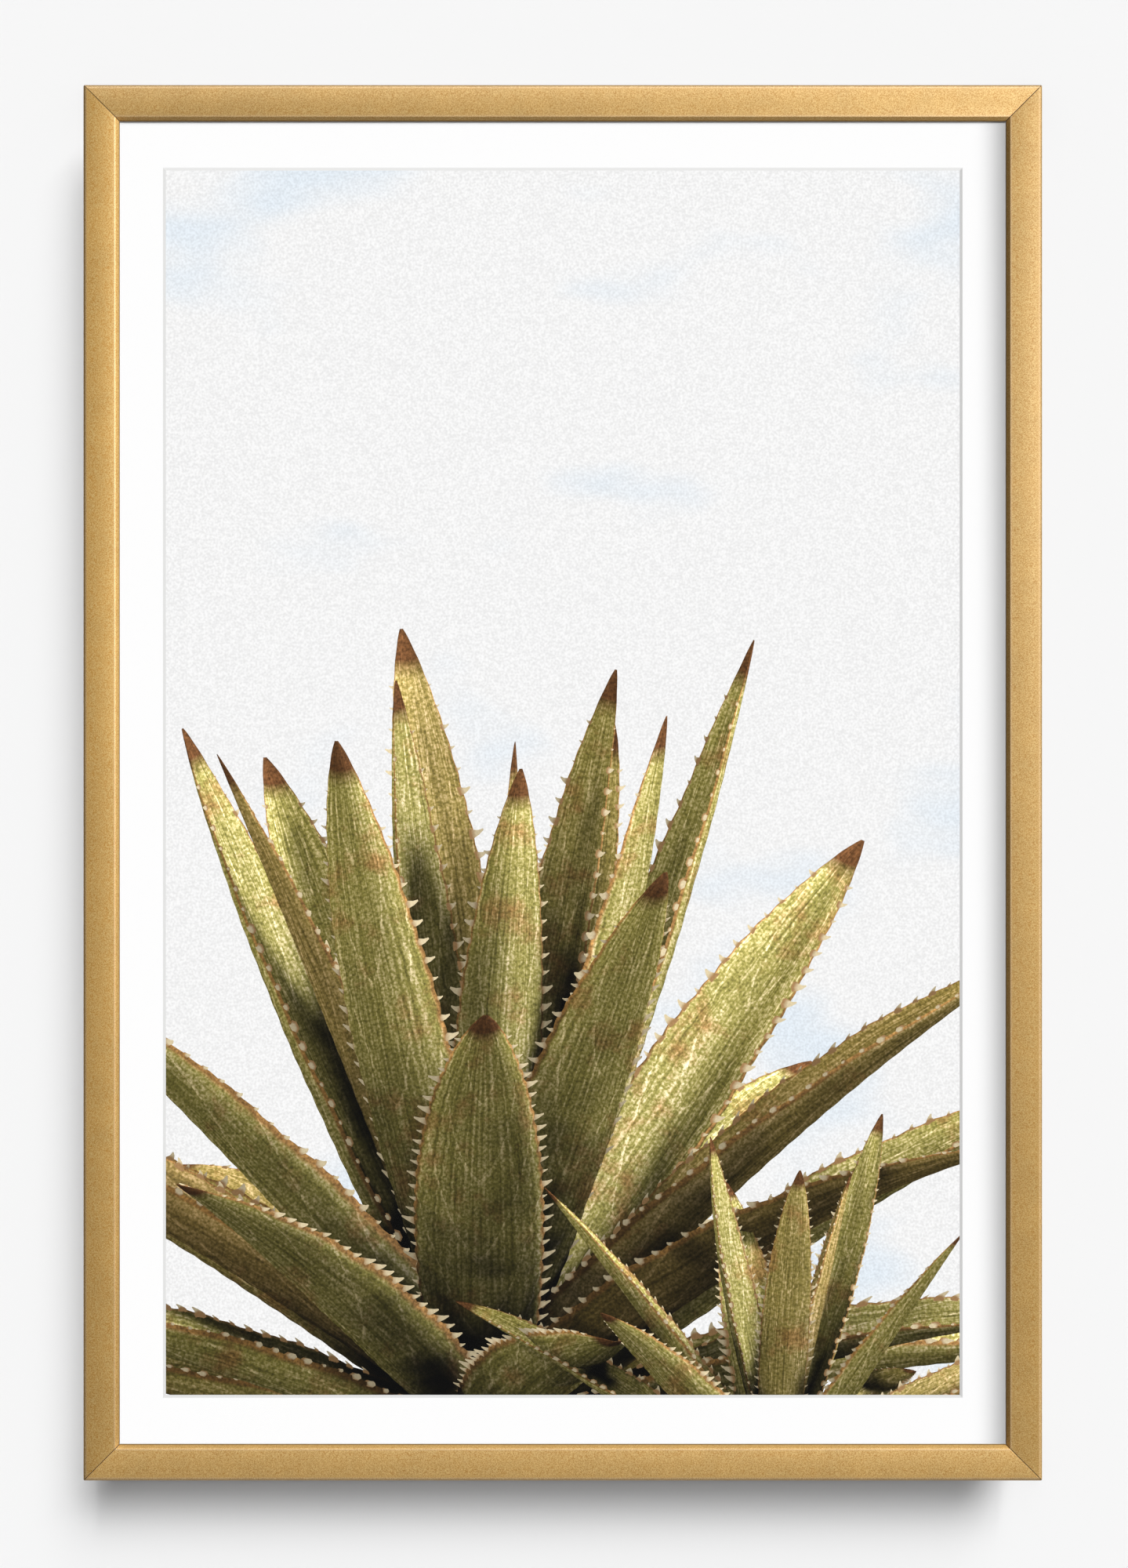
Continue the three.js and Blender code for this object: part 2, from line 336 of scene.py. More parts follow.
def gold_lacquer(settings):
    """Metallic lacquer sprayed on wood: flakes in a clear binder, which give a satin
    sheen, a fine pale sparkle and slow clouds where the spray fell thicker. The binder's
    own skin adds a gloss. The edges' corners are painted paler: a painted highlight."""
    material, tree = new_material("gold_lacquer_sprayed")
    place = add(tree, "ShaderNodeTexCoord").outputs["Object"]
    # Flake grain: real flakes are 0.05 mm, drawn 0.5 mm coarse so that they show.
    grain = add(tree, "ShaderNodeTexNoise", {"Vector": place, "Scale": 1900, "Detail": 1})
    cloud = add(tree, "ShaderNodeTexNoise", {"Vector": place, "Scale": 70, "Detail": 4})
    drift = add(tree, "ShaderNodeMapRange",
                {"Value": cloud, **NOISE_SPAN, "To Min": 0.95, "To Max": 1.04})
    # Painted highlight: the marked edge corners take the paler colour, as if lit.
    rubbed = add(tree, "ShaderNodeAttribute", attribute_name="rubbed").outputs["Fac"]
    lacquer_and_painted_highlight = add(tree, "ShaderNodeMix",
               {0: rubbed, 6: settings.lacquer, 7: settings.rubbed}, data_type="RGBA")
    coat = add(tree, "ShaderNodeVectorMath", {0: lacquer_and_painted_highlight, "Scale": drift}, operation="SCALE")
    # A flake that lies flat sparkles almost white, and one on edge takes as much away.
    turned = add(tree, "ShaderNodeMapRange",
                 {"Value": grain, **NOISE_SPAN, "To Min": -0.165, "To Max": 0.165})
    sparkle = add(tree, "ShaderNodeVectorMath",
                  {0: (0.84, 1.0, 0.6), "Scale": turned}, operation="SCALE")
    colour = add(tree, "ShaderNodeVectorMath", {0: coat, 1: sparkle}, operation="ADD")
    rough = add(tree, "ShaderNodeMapRange",
                {"Value": grain, **NOISE_SPAN, "To Min": 0.55, "To Max": 0.45})
    peel = add(tree, "ShaderNodeBump", {"Height": grain, "Strength": 0.35, "Distance": 0.05 * MM})
    shader = add(tree, "ShaderNodeBsdfPrincipled",
                 {"Base Color": colour, "Metallic": 0.6, "Roughness": rough, "Normal": peel,
                  "Coat Weight": 1.0, "Coat Roughness": 0.4, "Coat IOR": 1.7})
    add(tree, "ShaderNodeOutputMaterial", {"Surface": shader})
    return material


def bare_wood(settings):
    """Planed obeche, unfinished: pale, dull, with fine darker pores drawn out along the
    moulding, and a ragged edge where lacquer crept round the rear arris."""
    material, tree = new_material("bare_obeche_planed")
    uv = add(tree, "ShaderNodeUVMap", uv_map="surface")
    # Pores are 0.4 mm wide and some 15 mm long.
    along = add(tree, "ShaderNodeMapping", {"Vector": uv, "Scale": (2200, 66, 1)})
    pores = add(tree, "ShaderNodeTexNoise", {"Vector": along, "Scale": 1, "Detail": 4})
    wide = add(tree, "ShaderNodeMapping", {"Vector": uv, "Scale": (260, 9, 1)})
    bands = add(tree, "ShaderNodeTexNoise", {"Vector": wide, "Scale": 1, "Detail": 3})
    dark = add(tree, "ShaderNodeMapRange",
               {"Value": pores, "From Min": 0.35, "From Max": 0.6,
                "To Min": 0.72, "To Max": 1.03})
    band = add(tree, "ShaderNodeMapRange",
               {"Value": bands, **NOISE_SPAN, "To Min": 0.85, "To Max": 1.08})
    both = add(tree, "ShaderNodeMath", {0: dark, 1: band}, operation="MULTIPLY")
    wood = add(tree, "ShaderNodeVectorMath",
               {0: settings.wood[:3], "Scale": both}, operation="SCALE")
    # u is the distance from the outer arris, so overspray fades some 1.5 mm in.
    inward = add(tree, "ShaderNodeSeparateXYZ", {0: uv}).outputs["X"]
    ragged = add(tree, "ShaderNodeMath",
                 {0: bands, 1: 3.2 * MM, 2: inward}, operation="MULTIPLY_ADD")
    spray = add(tree, "ShaderNodeMapRange",
                {"Value": ragged, "From Min": 2.6 * MM, "From Max": 3.1 * MM,
                 "To Min": 0.9, "To Max": 0.0})
    colour = add(tree, "ShaderNodeMix",
                 {0: spray, 6: wood, 7: settings.lacquer}, data_type="RGBA")
    relief = add(tree, "ShaderNodeBump",
                 {"Height": pores, "Strength": 0.5, "Distance": 0.08 * MM})
    shader = add(tree, "ShaderNodeBsdfPrincipled",
                 {"Base Color": colour, "Roughness": 0.72, "Normal": relief})
    add(tree, "ShaderNodeOutputMaterial", {"Surface": shader})
    return material


def joint_glue_and_shade(settings):
    """Wood glue squeezed into the mitre: a dull brown hairline, mottled where the glue ran thin.
    Its dark colour is partly dust and partly painted shade of the groove."""
    material, tree = new_material("wood_glue_darkened")
    place = add(tree, "ShaderNodeTexCoord").outputs["Object"]
    # Thin and thick places follow each other every 4 mm or so.
    runs = add(tree, "ShaderNodeTexNoise", {"Vector": place, "Scale": 250, "Detail": 3})
    tone = add(tree, "ShaderNodeMapRange",
               {"Value": runs, **NOISE_SPAN, "To Min": 0.6, "To Max": 1.4})
    colour = add(tree, "ShaderNodeVectorMath",
                 {0: settings.glue_and_shade[:3], "Scale": tone}, operation="SCALE")
    shader = add(tree, "ShaderNodeBsdfPrincipled", {"Base Color": colour, "Roughness": 0.6})
    add(tree, "ShaderNodeOutputMaterial", {"Surface": shader})
    return material


def clear_acrylic():
    """Cast acrylic sheet: colourless, polished, seen only by what it mirrors. The print
    is seen straight through it, and lamps reach the print unhindered."""
    material, tree = new_material("clear_acrylic_cast")
    place = add(tree, "ShaderNodeTexCoord").outputs["Object"]
    # Wiping leaves a faint haze in patches some 40 mm wide.
    haze = add(tree, "ShaderNodeTexNoise", {"Vector": place, "Scale": 25, "Detail": 5})
    rough = add(tree, "ShaderNodeMapRange",
                {"Value": haze, **NOISE_SPAN, "To Min": 0.01, "To Max": 0.05})
    # Only the faces turned to the eye mirror, as a sheet's far face adds next to nothing.
    outer = add(tree, "ShaderNodeFresnel", {"IOR": 1.49})
    rear = add(tree, "ShaderNodeNewGeometry").outputs["Backfacing"]
    front = add(tree, "ShaderNodeMath", {0: 1.0, 1: rear}, operation="SUBTRACT")
    mirror = add(tree, "ShaderNodeMath", {0: outer, 1: front}, operation="MULTIPLY")
    through = add(tree, "ShaderNodeBsdfTransparent", {"Color": (1, 1, 1, 1)})
    gloss = add(tree, "ShaderNodeBsdfGlossy", {"Color": (1, 1, 1, 1), "Roughness": rough})
    mixed = add(tree, "ShaderNodeMixShader", {0: mirror, 1: through, 2: gloss})
    add(tree, "ShaderNodeOutputMaterial", {"Surface": mixed})
    return material


def mat_board(settings):
    """Four-ply window mat: smooth matte white facing paper over a white core, which
    shows a little greyer on the bevel cut."""
    material, tree = new_material("mat_board_bevel_cut")
    coords = add(tree, "ShaderNodeTexCoord")
    # The paper's tooth, drawn 1.1 mm coarse so that it shows.
    tooth = add(tree, "ShaderNodeTexNoise",
                {"Vector": coords.outputs["Object"], "Scale": 900, "Detail": 3})
    facing = add(tree, "ShaderNodeSeparateXYZ", {0: coords.outputs["Normal"]}).outputs["Y"]
    # The lamps stand right and above. The cuts turned away from them are painted paler,
    # a painted light that evens out the four cuts.
    away = add(tree, "ShaderNodeVectorMath",
               {0: coords.outputs["Normal"], 1: (-0.16, 0, -0.08)}, operation="DOT_PRODUCT")
    painted_light_on_cuts = add(tree, "ShaderNodeMath", {0: away, 1: 1.02}, operation="ADD")
    core = add(tree, "ShaderNodeVectorMath",
               {0: settings.core[:3], "Scale": painted_light_on_cuts}, operation="SCALE")
    # The face's normal has y = -1 and the bevel's -0.71.
    bevel = add(tree, "ShaderNodeMapRange", {"Value": facing, "From Min": -0.9, "From Max": -0.8})
    plain = add(tree, "ShaderNodeMix", {0: bevel, 6: settings.board, 7: core}, data_type="RGBA")
    shade = add(tree, "ShaderNodeMapRange",
                {"Value": tooth, **NOISE_SPAN, "To Min": 0.985, "To Max": 1.0})
    colour = add(tree, "ShaderNodeVectorMath", {0: plain, "Scale": shade}, operation="SCALE")
    # The cut's fibres stand up, so it is lit nearly as the face is.
    normal = add(tree, "ShaderNodeNewGeometry").outputs["Normal"]
    little = add(tree, "ShaderNodeVectorMath", {0: normal, "Scale": 0.1}, operation="SCALE")
    raised = add(tree, "ShaderNodeVectorMath", {0: little, 1: (0, -0.9, 0)}, operation="ADD")
    relief = add(tree, "ShaderNodeBump",
                 {"Height": tooth, "Strength": 0.1, "Distance": 0.03 * MM, "Normal": raised})
    shader = add(tree, "ShaderNodeBsdfPrincipled",
                 {"Base Color": colour, "Roughness": 0.95, "Specular IOR Level": 0.1,
                  "Normal": relief})
    add(tree, "ShaderNodeOutputMaterial", {"Surface": shader})
    return material


def paper_grain(tree, place):
    """The brightness and the relief of matte art paper under a film-like grain, which is
    drawn as 1.2 mm pebbles so that it shows."""
    pebbles = add(tree, "ShaderNodeTexNoise", {"Vector": place, "Scale": 830, "Detail": 0})
    shade = add(tree, "ShaderNodeMapRange",
                {"Value": pebbles, "From Min": 0.25, "From Max": 0.75,
                 "To Min": 0.91, "To Max": 1.08})
    return shade, pebbles


def printed_sky(settings):
    """Matte art paper with an inkjet sky: near white, with soft pale blue gaps between
    the clouds and a fine grain over all."""
    material, tree = new_material("art_paper_inkjet_sky")
    place = add(tree, "ShaderNodeTexCoord").outputs["Object"]
    shade, height = paper_grain(tree, place)
    # Clouds some 180 mm wide and 90 mm high.
    drawn = add(tree, "ShaderNodeMapping",
                {"Vector": place, "Rotation": (0, radians(-35), 0), "Scale": (5.5, 1, 11)})
    clouds = add(tree, "ShaderNodeTexNoise",
                 {"Vector": drawn, "Scale": 1, "Detail": 3, "Roughness": 0.45})
    gap = add(tree, "ShaderNodeMapRange",
              {"Value": clouds, "From Min": 0.55, "From Max": 0.7},
              interpolation_type="SMOOTHSTEP")
    sky = add(tree, "ShaderNodeMix",
              {0: gap, 6: settings.sky, 7: settings.cloud_gap}, data_type="RGBA")
    colour = add(tree, "ShaderNodeVectorMath", {0: sky, "Scale": shade}, operation="SCALE")
    relief = add(tree, "ShaderNodeBump",
                 {"Height": height, "Strength": 0.15, "Distance": 0.03 * MM})
    shader = add(tree, "ShaderNodeBsdfPrincipled",
                 {"Base Color": colour, "Roughness": 0.8, "Specular IOR Level": 0.2,
                  "Normal": relief})
    add(tree, "ShaderNodeOutputMaterial", {"Surface": shader})
    return material


def printed_leaf(settings):
    """Inkjet leaf on the same paper. The picture's own light and shade come from the
    leaf's sun and sky values. Fibres run along it, pale bud prints arch across it, its
    margins are dry and tan, its tip is brown, and scars blotch it."""
    material, tree = new_material("art_paper_inkjet_leaf")
    place = add(tree, "ShaderNodeTexCoord").outputs["Object"]
    uv = add(tree, "ShaderNodeUVMap", uv_map="surface")
    split = add(tree, "ShaderNodeSeparateXYZ", {0: uv})
    across, along = split.outputs["X"], split.outputs["Y"]
    seed = add(tree, "ShaderNodeAttribute", attribute_name="seed").outputs["Fac"]
    # Fibres: some 2 mm apart, in strands a quarter of the leaf's length.
    drawn = add(tree, "ShaderNodeMapping", {"Vector": uv, "Scale": (17, 4, 1)})
    fibres = add(tree, "ShaderNodeTexNoise",
                 {"Vector": drawn, "W": seed, "Scale": 1, "Detail": 5}, noise_dimensions="4D")
    # Scars some 28 mm across, and specks of 1.6 mm.
    blotches = add(tree, "ShaderNodeTexNoise",
                   {"Vector": place, "Scale": 36, "Detail": 6, "Roughness": 0.65})
    specks = add(tree, "ShaderNodeTexNoise", {"Vector": place, "Scale": 620, "Detail": 2})
    stripe = add(tree, "ShaderNodeMapRange",
                 {"Value": fibres, **NOISE_SPAN, "To Min": 0.5, "To Max": 1.5})
    speck = add(tree, "ShaderNodeMapRange",
                {"Value": specks, **NOISE_SPAN, "To Min": 0.55, "To Max": 1.45})
    pattern = add(tree, "ShaderNodeMath", {0: stripe, 1: speck}, operation="MULTIPLY")
    edge = add(tree, "ShaderNodeMath", {0: across}, operation="ABSOLUTE")
    # Bud prints: arches where 5 along - 1.6 |across|^1.5 + seed passes a whole number.
    fall = add(tree, "ShaderNodeMath", {0: edge, 1: 1.5}, operation="POWER")
    rise = add(tree, "ShaderNodeMath", {0: along, 1: 5.0, 2: seed}, operation="MULTIPLY_ADD")
    arch = add(tree, "ShaderNodeMath", {0: fall, 1: -1.6, 2: rise}, operation="MULTIPLY_ADD")
    phase = add(tree, "ShaderNodeMath", {0: arch}, operation="FRACT")
    print_line = add(tree, "ShaderNodeMapRange",
                     {"Value": phase, "From Min": 0.9, "From Max": 1.0,
                      "To Min": 1.0, "To Max": 1.55})
    marked = add(tree, "ShaderNodeMath", {0: pattern, 1: print_line}, operation="MULTIPLY")
    # Margin: the outer 4% of the half width. Tip: the last 6% of the length.
    margin = add(tree, "ShaderNodeMapRange", {"Value": edge, "From Min": 0.94, "From Max": 0.98})
    tip = add(tree, "ShaderNodeMapRange", {"Value": along, "From Min": 0.925, "From Max": 0.955})
    scar = add(tree, "ShaderNodeMapRange",
               {"Value": blotches, "From Min": 0.54, "From Max": 0.68, "To Max": 0.8})
    # Some leaves are older and browner than others.
    age = add(tree, "ShaderNodeMapRange",
              {"Value": seed, "From Min": 0, "From Max": 5, "To Max": 0.6})
    aged = add(tree, "ShaderNodeMath", {0: age, 1: scar}, operation="MAXIMUM")
    tan = add(tree, "ShaderNodeMath", {0: margin, 1: aged}, operation="MAXIMUM")
    # Wax bloom whitens the raised fibres and the bud prints.
    waxy = add(tree, "ShaderNodeMapRange",
               {"Value": marked, "From Min": 0.9, "From Max": 1.8, "To Max": 1.0})
    green = add(tree, "ShaderNodeMix",
                {0: waxy, 6: settings.leaf, 7: settings.bloom}, data_type="RGBA")
    dry = add(tree, "ShaderNodeMix", {0: tan, 6: green, 7: settings.scar}, data_type="RGBA")
    pigment = add(tree, "ShaderNodeMix", {0: tip, 6: dry, 7: settings.spine}, data_type="RGBA")
    sun = add(tree, "ShaderNodeAttribute", attribute_name="sun").outputs["Fac"]
    sky = add(tree, "ShaderNodeAttribute", attribute_name="sky").outputs["Fac"]
    warm = add(tree, "ShaderNodeVectorMath",
               {0: (1.0, 0.94, 0.83), "Scale": sun}, operation="SCALE")
    cool = add(tree, "ShaderNodeVectorMath",
               {0: (0.68, 0.62, 0.4), "Scale": sky}, operation="SCALE")
    light = add(tree, "ShaderNodeVectorMath", {0: warm, 1: cool}, operation="ADD")
    lit = add(tree, "ShaderNodeVectorMath", {0: pigment, 1: light}, operation="MULTIPLY")
    inked = add(tree, "ShaderNodeVectorMath", {0: lit, "Scale": marked}, operation="SCALE")
    shade, height = paper_grain(tree, place)
    colour = add(tree, "ShaderNodeVectorMath", {0: inked, "Scale": shade}, operation="SCALE")
    relief = add(tree, "ShaderNodeBump",
                 {"Height": height, "Strength": 0.15, "Distance": 0.03 * MM})
    shader = add(tree, "ShaderNodeBsdfPrincipled",
                 {"Base Color": colour, "Roughness": 0.8, "Specular IOR Level": 0.05,
                  "Normal": relief})
    add(tree, "ShaderNodeOutputMaterial", {"Surface": shader})
    return material


def printed_tooth(settings):
    """Inkjet teeth on the same paper: brown where they leave the leaf, cream to the
    point, and lit as the leaf is beside them."""
    material, tree = new_material("art_paper_inkjet_tooth")
    place = add(tree, "ShaderNodeTexCoord").outputs["Object"]
    sun = add(tree, "ShaderNodeAttribute", attribute_name="sun").outputs["Fac"]
    point = add(tree, "ShaderNodeAttribute", attribute_name="point").outputs["Fac"]
    shade, _ = paper_grain(tree, place)
    light = add(tree, "ShaderNodeMapRange",
                {"Value": sun, "From Max": 0.9, "To Min": 0.3, "To Max": 1.05})
    both = add(tree, "ShaderNodeMath", {0: light, 1: shade}, operation="MULTIPLY")
    ripe = add(tree, "ShaderNodeMapRange", {"Value": point, "From Min": -0.15, "From Max": 0.2})
    horn = add(tree, "ShaderNodeMix",
               {0: ripe, 6: settings.scar, 7: settings.tooth}, data_type="RGBA")
    colour = add(tree, "ShaderNodeVectorMath", {0: horn, "Scale": both}, operation="SCALE")
    shader = add(tree, "ShaderNodeBsdfPrincipled",
                 {"Base Color": colour, "Roughness": 0.8, "Specular IOR Level": 0.05})
    add(tree, "ShaderNodeOutputMaterial", {"Surface": shader})
    return material


def pressed_hardboard(settings):
    """Hardboard, wet fibre pressed hot: a hard, slightly shiny brown skin with matted
    fibres, pale and dark flecks and slow stains."""
    material, tree = new_material("hardboard_pressed")
    place = add(tree, "ShaderNodeTexCoord").outputs["Object"]
    # Matted fibres some 6 mm long and 0.8 mm wide, in two layers; stains of some 60 mm.
    one = add(tree, "ShaderNodeMapping",
              {"Vector": place, "Rotation": (0, radians(28), 0), "Scale": (160, 1, 1250)})
    two = add(tree, "ShaderNodeMapping",
              {"Vector": place, "Rotation": (0, radians(-52), 0), "Scale": (180, 1, 1100)})
    mesh_one = add(tree, "ShaderNodeTexNoise", {"Vector": one, "Scale": 1, "Detail": 4})
    mesh_two = add(tree, "ShaderNodeTexNoise", {"Vector": two, "Scale": 1, "Detail": 4})
    stain = add(tree, "ShaderNodeTexNoise", {"Vector": place, "Scale": 16, "Detail": 5})
    fibres = add(tree, "ShaderNodeMath", {0: mesh_one, 1: mesh_two}, operation="ADD")
    fleck = add(tree, "ShaderNodeMapRange",
                {"Value": fibres, "From Min": 0.75, "From Max": 1.25,
                 "To Min": 0.72, "To Max": 1.22})
    slow = add(tree, "ShaderNodeMapRange",
               {"Value": stain, **NOISE_SPAN, "To Min": 0.86, "To Max": 1.1})
    both = add(tree, "ShaderNodeMath", {0: fleck, 1: slow}, operation="MULTIPLY")
    colour = add(tree, "ShaderNodeVectorMath",
                 {0: settings.hardboard[:3], "Scale": both}, operation="SCALE")
    rough = add(tree, "ShaderNodeMapRange",
                {"Value": fibres, "From Min": 0.75, "From Max": 1.25,
                 "To Min": 0.62, "To Max": 0.48})
    relief = add(tree, "ShaderNodeBump",
                 {"Height": fibres, "Strength": 0.4, "Distance": 0.08 * MM})
    shader = add(tree, "ShaderNodeBsdfPrincipled",
                 {"Base Color": colour, "Roughness": rough, "Normal": relief})
    add(tree, "ShaderNodeOutputMaterial", {"Surface": shader})
    return material


def zinc_steel(settings):
    """Rolled steel, zinc plated: bright, cool grey, with fine rolling lines and the
    slightly blotched sheen of a thin plating."""
    material, tree = new_material("steel_zinc_plated")
    place = add(tree, "ShaderNodeTexCoord").outputs["Object"]
    # Rolling lines 0.25 mm apart; plating blotches some 3 mm across.
    rolled = add(tree, "ShaderNodeMapping", {"Vector": place, "Scale": (150, 1500, 4000)})
    lines = add(tree, "ShaderNodeTexNoise", {"Vector": rolled, "Scale": 1, "Detail": 3})
    blotch = add(tree, "ShaderNodeTexNoise", {"Vector": place, "Scale": 330, "Detail": 4})
    rough = add(tree, "ShaderNodeMapRange",
                {"Value": lines, **NOISE_SPAN, "To Min": 0.26, "To Max": 0.42})
    tone = add(tree, "ShaderNodeMapRange",
               {"Value": blotch, **NOISE_SPAN, "To Min": 0.84, "To Max": 1.05})
    colour = add(tree, "ShaderNodeVectorMath",
                 {0: settings.zinc[:3], "Scale": tone}, operation="SCALE")
    relief = add(tree, "ShaderNodeBump",
                 {"Height": lines, "Strength": 0.2, "Distance": 0.02 * MM})
    shader = add(tree, "ShaderNodeBsdfPrincipled",
                 {"Base Color": colour, "Metallic": 1.0, "Roughness": rough, "Normal": relief})
    add(tree, "ShaderNodeOutputMaterial", {"Surface": shader})
    return material


# ---- Mouldings ----

JOINT_RECESS = 0.3 * MM  # the glue lies this deep in the joint
JOINT_SLACK = 0.01 * MM  # and this far from the wood on each side
RABBET_CLEARANCE = 1 * MM  # round the sheets
RAIL_RINGS = 24  # plain rings along a moulding


def arc(centre, radius, start, stop, steps):
    """Points centre + radius (cos a, sin a), a from start to stop, in turns of pi."""
    a = np.linspace(start, stop, steps) * pi
    return np.stack([centre[0] + radius * np.cos(a), centre[1] + radius * np.sin(a)], -1)


def rounded_corner(corner, radius, start, stop, steps):
    """The arc that rounds the corner of two sides whose normals stand at start and stop,
    in turns of pi: its centre lies corner - radius (n1 + n2) / (1 + n1 . n2)."""
    ends = np.array([start, stop]) * pi
    n1, n2 = np.stack([np.cos(ends), np.sin(ends)], -1)
    return arc(corner - radius * (n1 + n2) / (1 + n1 @ n2), radius, start, stop, steps)


def moulding_section(settings, land):
    """The section's outline, u from the outer edge to the sight edge, v from the wall to
    the face, which of its sides are bare wood, and how much painted highlight its points
    take. From the sight edge a bevel with two softened corners climbs to the face, which is
    the crown's parabola shoulder + crown (1 - t^2), t from 1 to -1, and ends in a quarter
    round. The bevel's upper corner and the quarter round's front carry the painted highlight."""
    shoulder = DEPTH - settings.crown
    width, drop, soft = settings.bevel_width, settings.bevel_drop, settings.bevel_radius
    slant = np.arctan2(width, drop) / pi
    sight = np.vstack([
        rounded_corner(np.array([FACE, shoulder - drop]), soft, 0, slant, 5),
        rounded_corner(np.array([FACE - width, shoulder]), soft, slant, 0.5, 5),
    ])
    edge = rounded_corner(np.array([0, shoulder]), settings.outer_radius, 0.5, 1, 10)
    t = np.linspace(1, -1, 15)[1:-1]
    u = (sight[-1, 0] + edge[0, 0]) / 2 + t * (sight[-1, 0] - edge[0, 0]) / 2
    face = np.stack([u, shoulder + settings.crown * (1 - t**2)], -1)
    rear = np.array([(0, 0), (land, 0), (land, LIP_REAR), (FACE, LIP_REAR)])
    outline = np.vstack([rear, sight, face, edge])
    bare = np.zeros(len(outline), bool)
    bare[:3] = True
    # Painted highlight on the bevel's upper corner and on the quarter round's front.
    rubbed = np.zeros(len(outline))
    upper = len(rear) + len(sight)
    rubbed[upper - 3 : upper] = 1
    rubbed[-len(edge) + 1 : -5] = (0.5, 0.9, 0.8, 0.3)
    return outline, bare, rubbed


def inward_normals(outline):
    """Unit inward normals at an anticlockwise outline's points: the mean direction of
    the sides that meet there, turned a quarter to the left."""
    ahead = np.roll(outline, -1, 0) - outline
    ahead /= np.linalg.norm(ahead, axis=1, keepdims=True)
    mean = ahead + np.roll(ahead, 1, 0)
    mean /= np.linalg.norm(mean, axis=1, keepdims=True)
    return np.stack([-mean[:, 1], mean[:, 0]], -1)


def moulding_rings(settings, outline, length):
    """The outline carried along the moulding. Its ends are on the 45 degree mitre, at
    length / 2 - u, and over the last joint_radius the section shrinks by a quarter
    round, so the joint is a fine groove. Plain rings between the ends, two of them close
    to the rounding, keep the long faces' shading straight. Returns (u, v, w) rings."""
    r = settings.joint_radius
    turn = np.linspace(0, 0.5, 5) * pi
    normals = inward_normals(outline)
    section = outline + (r * (1 - np.cos(turn)))[:, None, None] * normals
    mitre = length / 2 - settings.joint_gap / 2
    reach = mitre - section[..., 0] - (r * (1 - np.sin(turn)))[:, None]
    end = np.dstack([section, reach])
    share = np.linspace(-1, 1, RAIL_RINGS)[:, None]
    inner = (reach[0] - 0.5 * r) * share
    middle = np.dstack([np.broadcast_to(outline, (RAIL_RINGS, *outline.shape)), inner])
    return np.concatenate([end[::-1] * (1, 1, -1), middle, end])


def build_moulding(name, settings, materials, land, length, out, run):
    """One side of the frame. out points from the middle of the frame to this side, run
    along it, and the outer edge is reach away from the middle."""
    reach = OUTER_HEIGHT / 2 if abs(out.z) > 0.5 else OUTER_WIDTH / 2
    outline, bare, rubbed = moulding_section(settings, land)
    rings = moulding_rings(settings, outline, length)
    axes = np.array([-out, (0, -1, 0), run])
    origin = np.array([CENTRE.x, 0, CENTRE.z]) + reach * np.array(out)
    vertices, faces, starts = loft(rings @ axes + origin)
    lap = np.linalg.norm(np.diff(outline, axis=0), axis=1)
    u = np.tile(np.concatenate([[0], np.cumsum(lap)]), len(rings))
    uv = np.stack([u, rings[..., 2].ravel()], -1)
    starts = np.array(starts)
    wood = (starts < 0) | bare[starts]
    made = piece(f"moulding_{name}", vertices, faces, materials, uv=uv,
                 indices=wood.astype(np.int32), values={"rubbed": np.tile(rubbed, len(rings))})
    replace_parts(made, f"rail_{name}")


def build_joint(name, settings, material, outline, across, up):
    """The glue in one mitre: the section, drawn in by the recess, as a plate across the
    joint. A point u in from the outer edge lies u in from both outer sides, and the
    plate is thick along (across, -up)."""
    section = outline + JOINT_RECESS * inward_normals(outline)
    corner = np.array([across * OUTER_WIDTH, 0, up * OUTER_HEIGHT]) / 2 + (CENTRE.x, 0, CENTRE.z)
    plate = corner + section @ np.array([(-across, 0, -up), (0, -1, 0)])
    half = settings.joint_gap / 2 - JOINT_SLACK
    ends = np.array([-half, half])[:, None, None] * np.array([across, 0, -up]) / 2
    vertices, faces, _ = loft(plate + ends)
    piece(f"joint_glue_{name}", vertices, faces, [material])


class PICTURE_OT_mouldings(bpy.types.Operator):
    """Build the four mitred mouldings in place of their solids, and their glue lines"""

    bl_idname = "framed_picture.mouldings"
    bl_label = "Mouldings"

    def execute(self, context):
        settings = context.scene.picture_moulding
        materials = [gold_lacquer(settings), bare_wood(settings)]
        sheet_width = GLAZING_BOX[1].x - GLAZING_BOX[0].x
        land = (OUTER_WIDTH - sheet_width) / 2 - RABBET_CLEARANCE
        up, right = Vector((0, 0, 1)), Vector((1, 0, 0))
        build_moulding("top", settings, materials, land, OUTER_WIDTH, up, right)
        build_moulding("bottom", settings, materials, land, OUTER_WIDTH, -up, right)
        build_moulding("right", settings, materials, land, OUTER_HEIGHT, right, up)
        build_moulding("left", settings, materials, land, OUTER_HEIGHT, -right, up)
        outline, _, _ = moulding_section(settings, land)
        glue_and_shade = joint_glue_and_shade(settings)
        for rise, level in ((1, "top"), (-1, "bottom")):
            for across, side in ((1, "right"), (-1, "left")):
                build_joint(f"{level}_{side}", settings, glue_and_shade, outline, across, rise)
        return {"FINISHED"}


def build_clear_sheet(material):
    """The clear sheet, a rectangle carried from its rear to its front with a small
    bevel at both edges. It stands a hair off the mat, so the two faces never meet."""
    low, high = GLAZING_BOX
    bevel, off = 0.25 * MM, 0.1 * MM
    middle, half = (low + high) / 2, (high - low) / 2
    corners = np.array([(-1, -1), (1, -1), (1, 1), (-1, 1)])
    rings = []
    for y, inset in ((high.y - off, bevel), (high.y - off - bevel, 0),
                     (low.y + bevel, 0), (low.y, bevel)):
        flat = corners * (half.x - inset, half.z - inset) + (middle.x, middle.z)
        rings.append(np.stack([flat[:, 0], np.full(4, y), flat[:, 1]], -1))
    stand_in("glazing", "clear_sheet", np.array(rings), material)


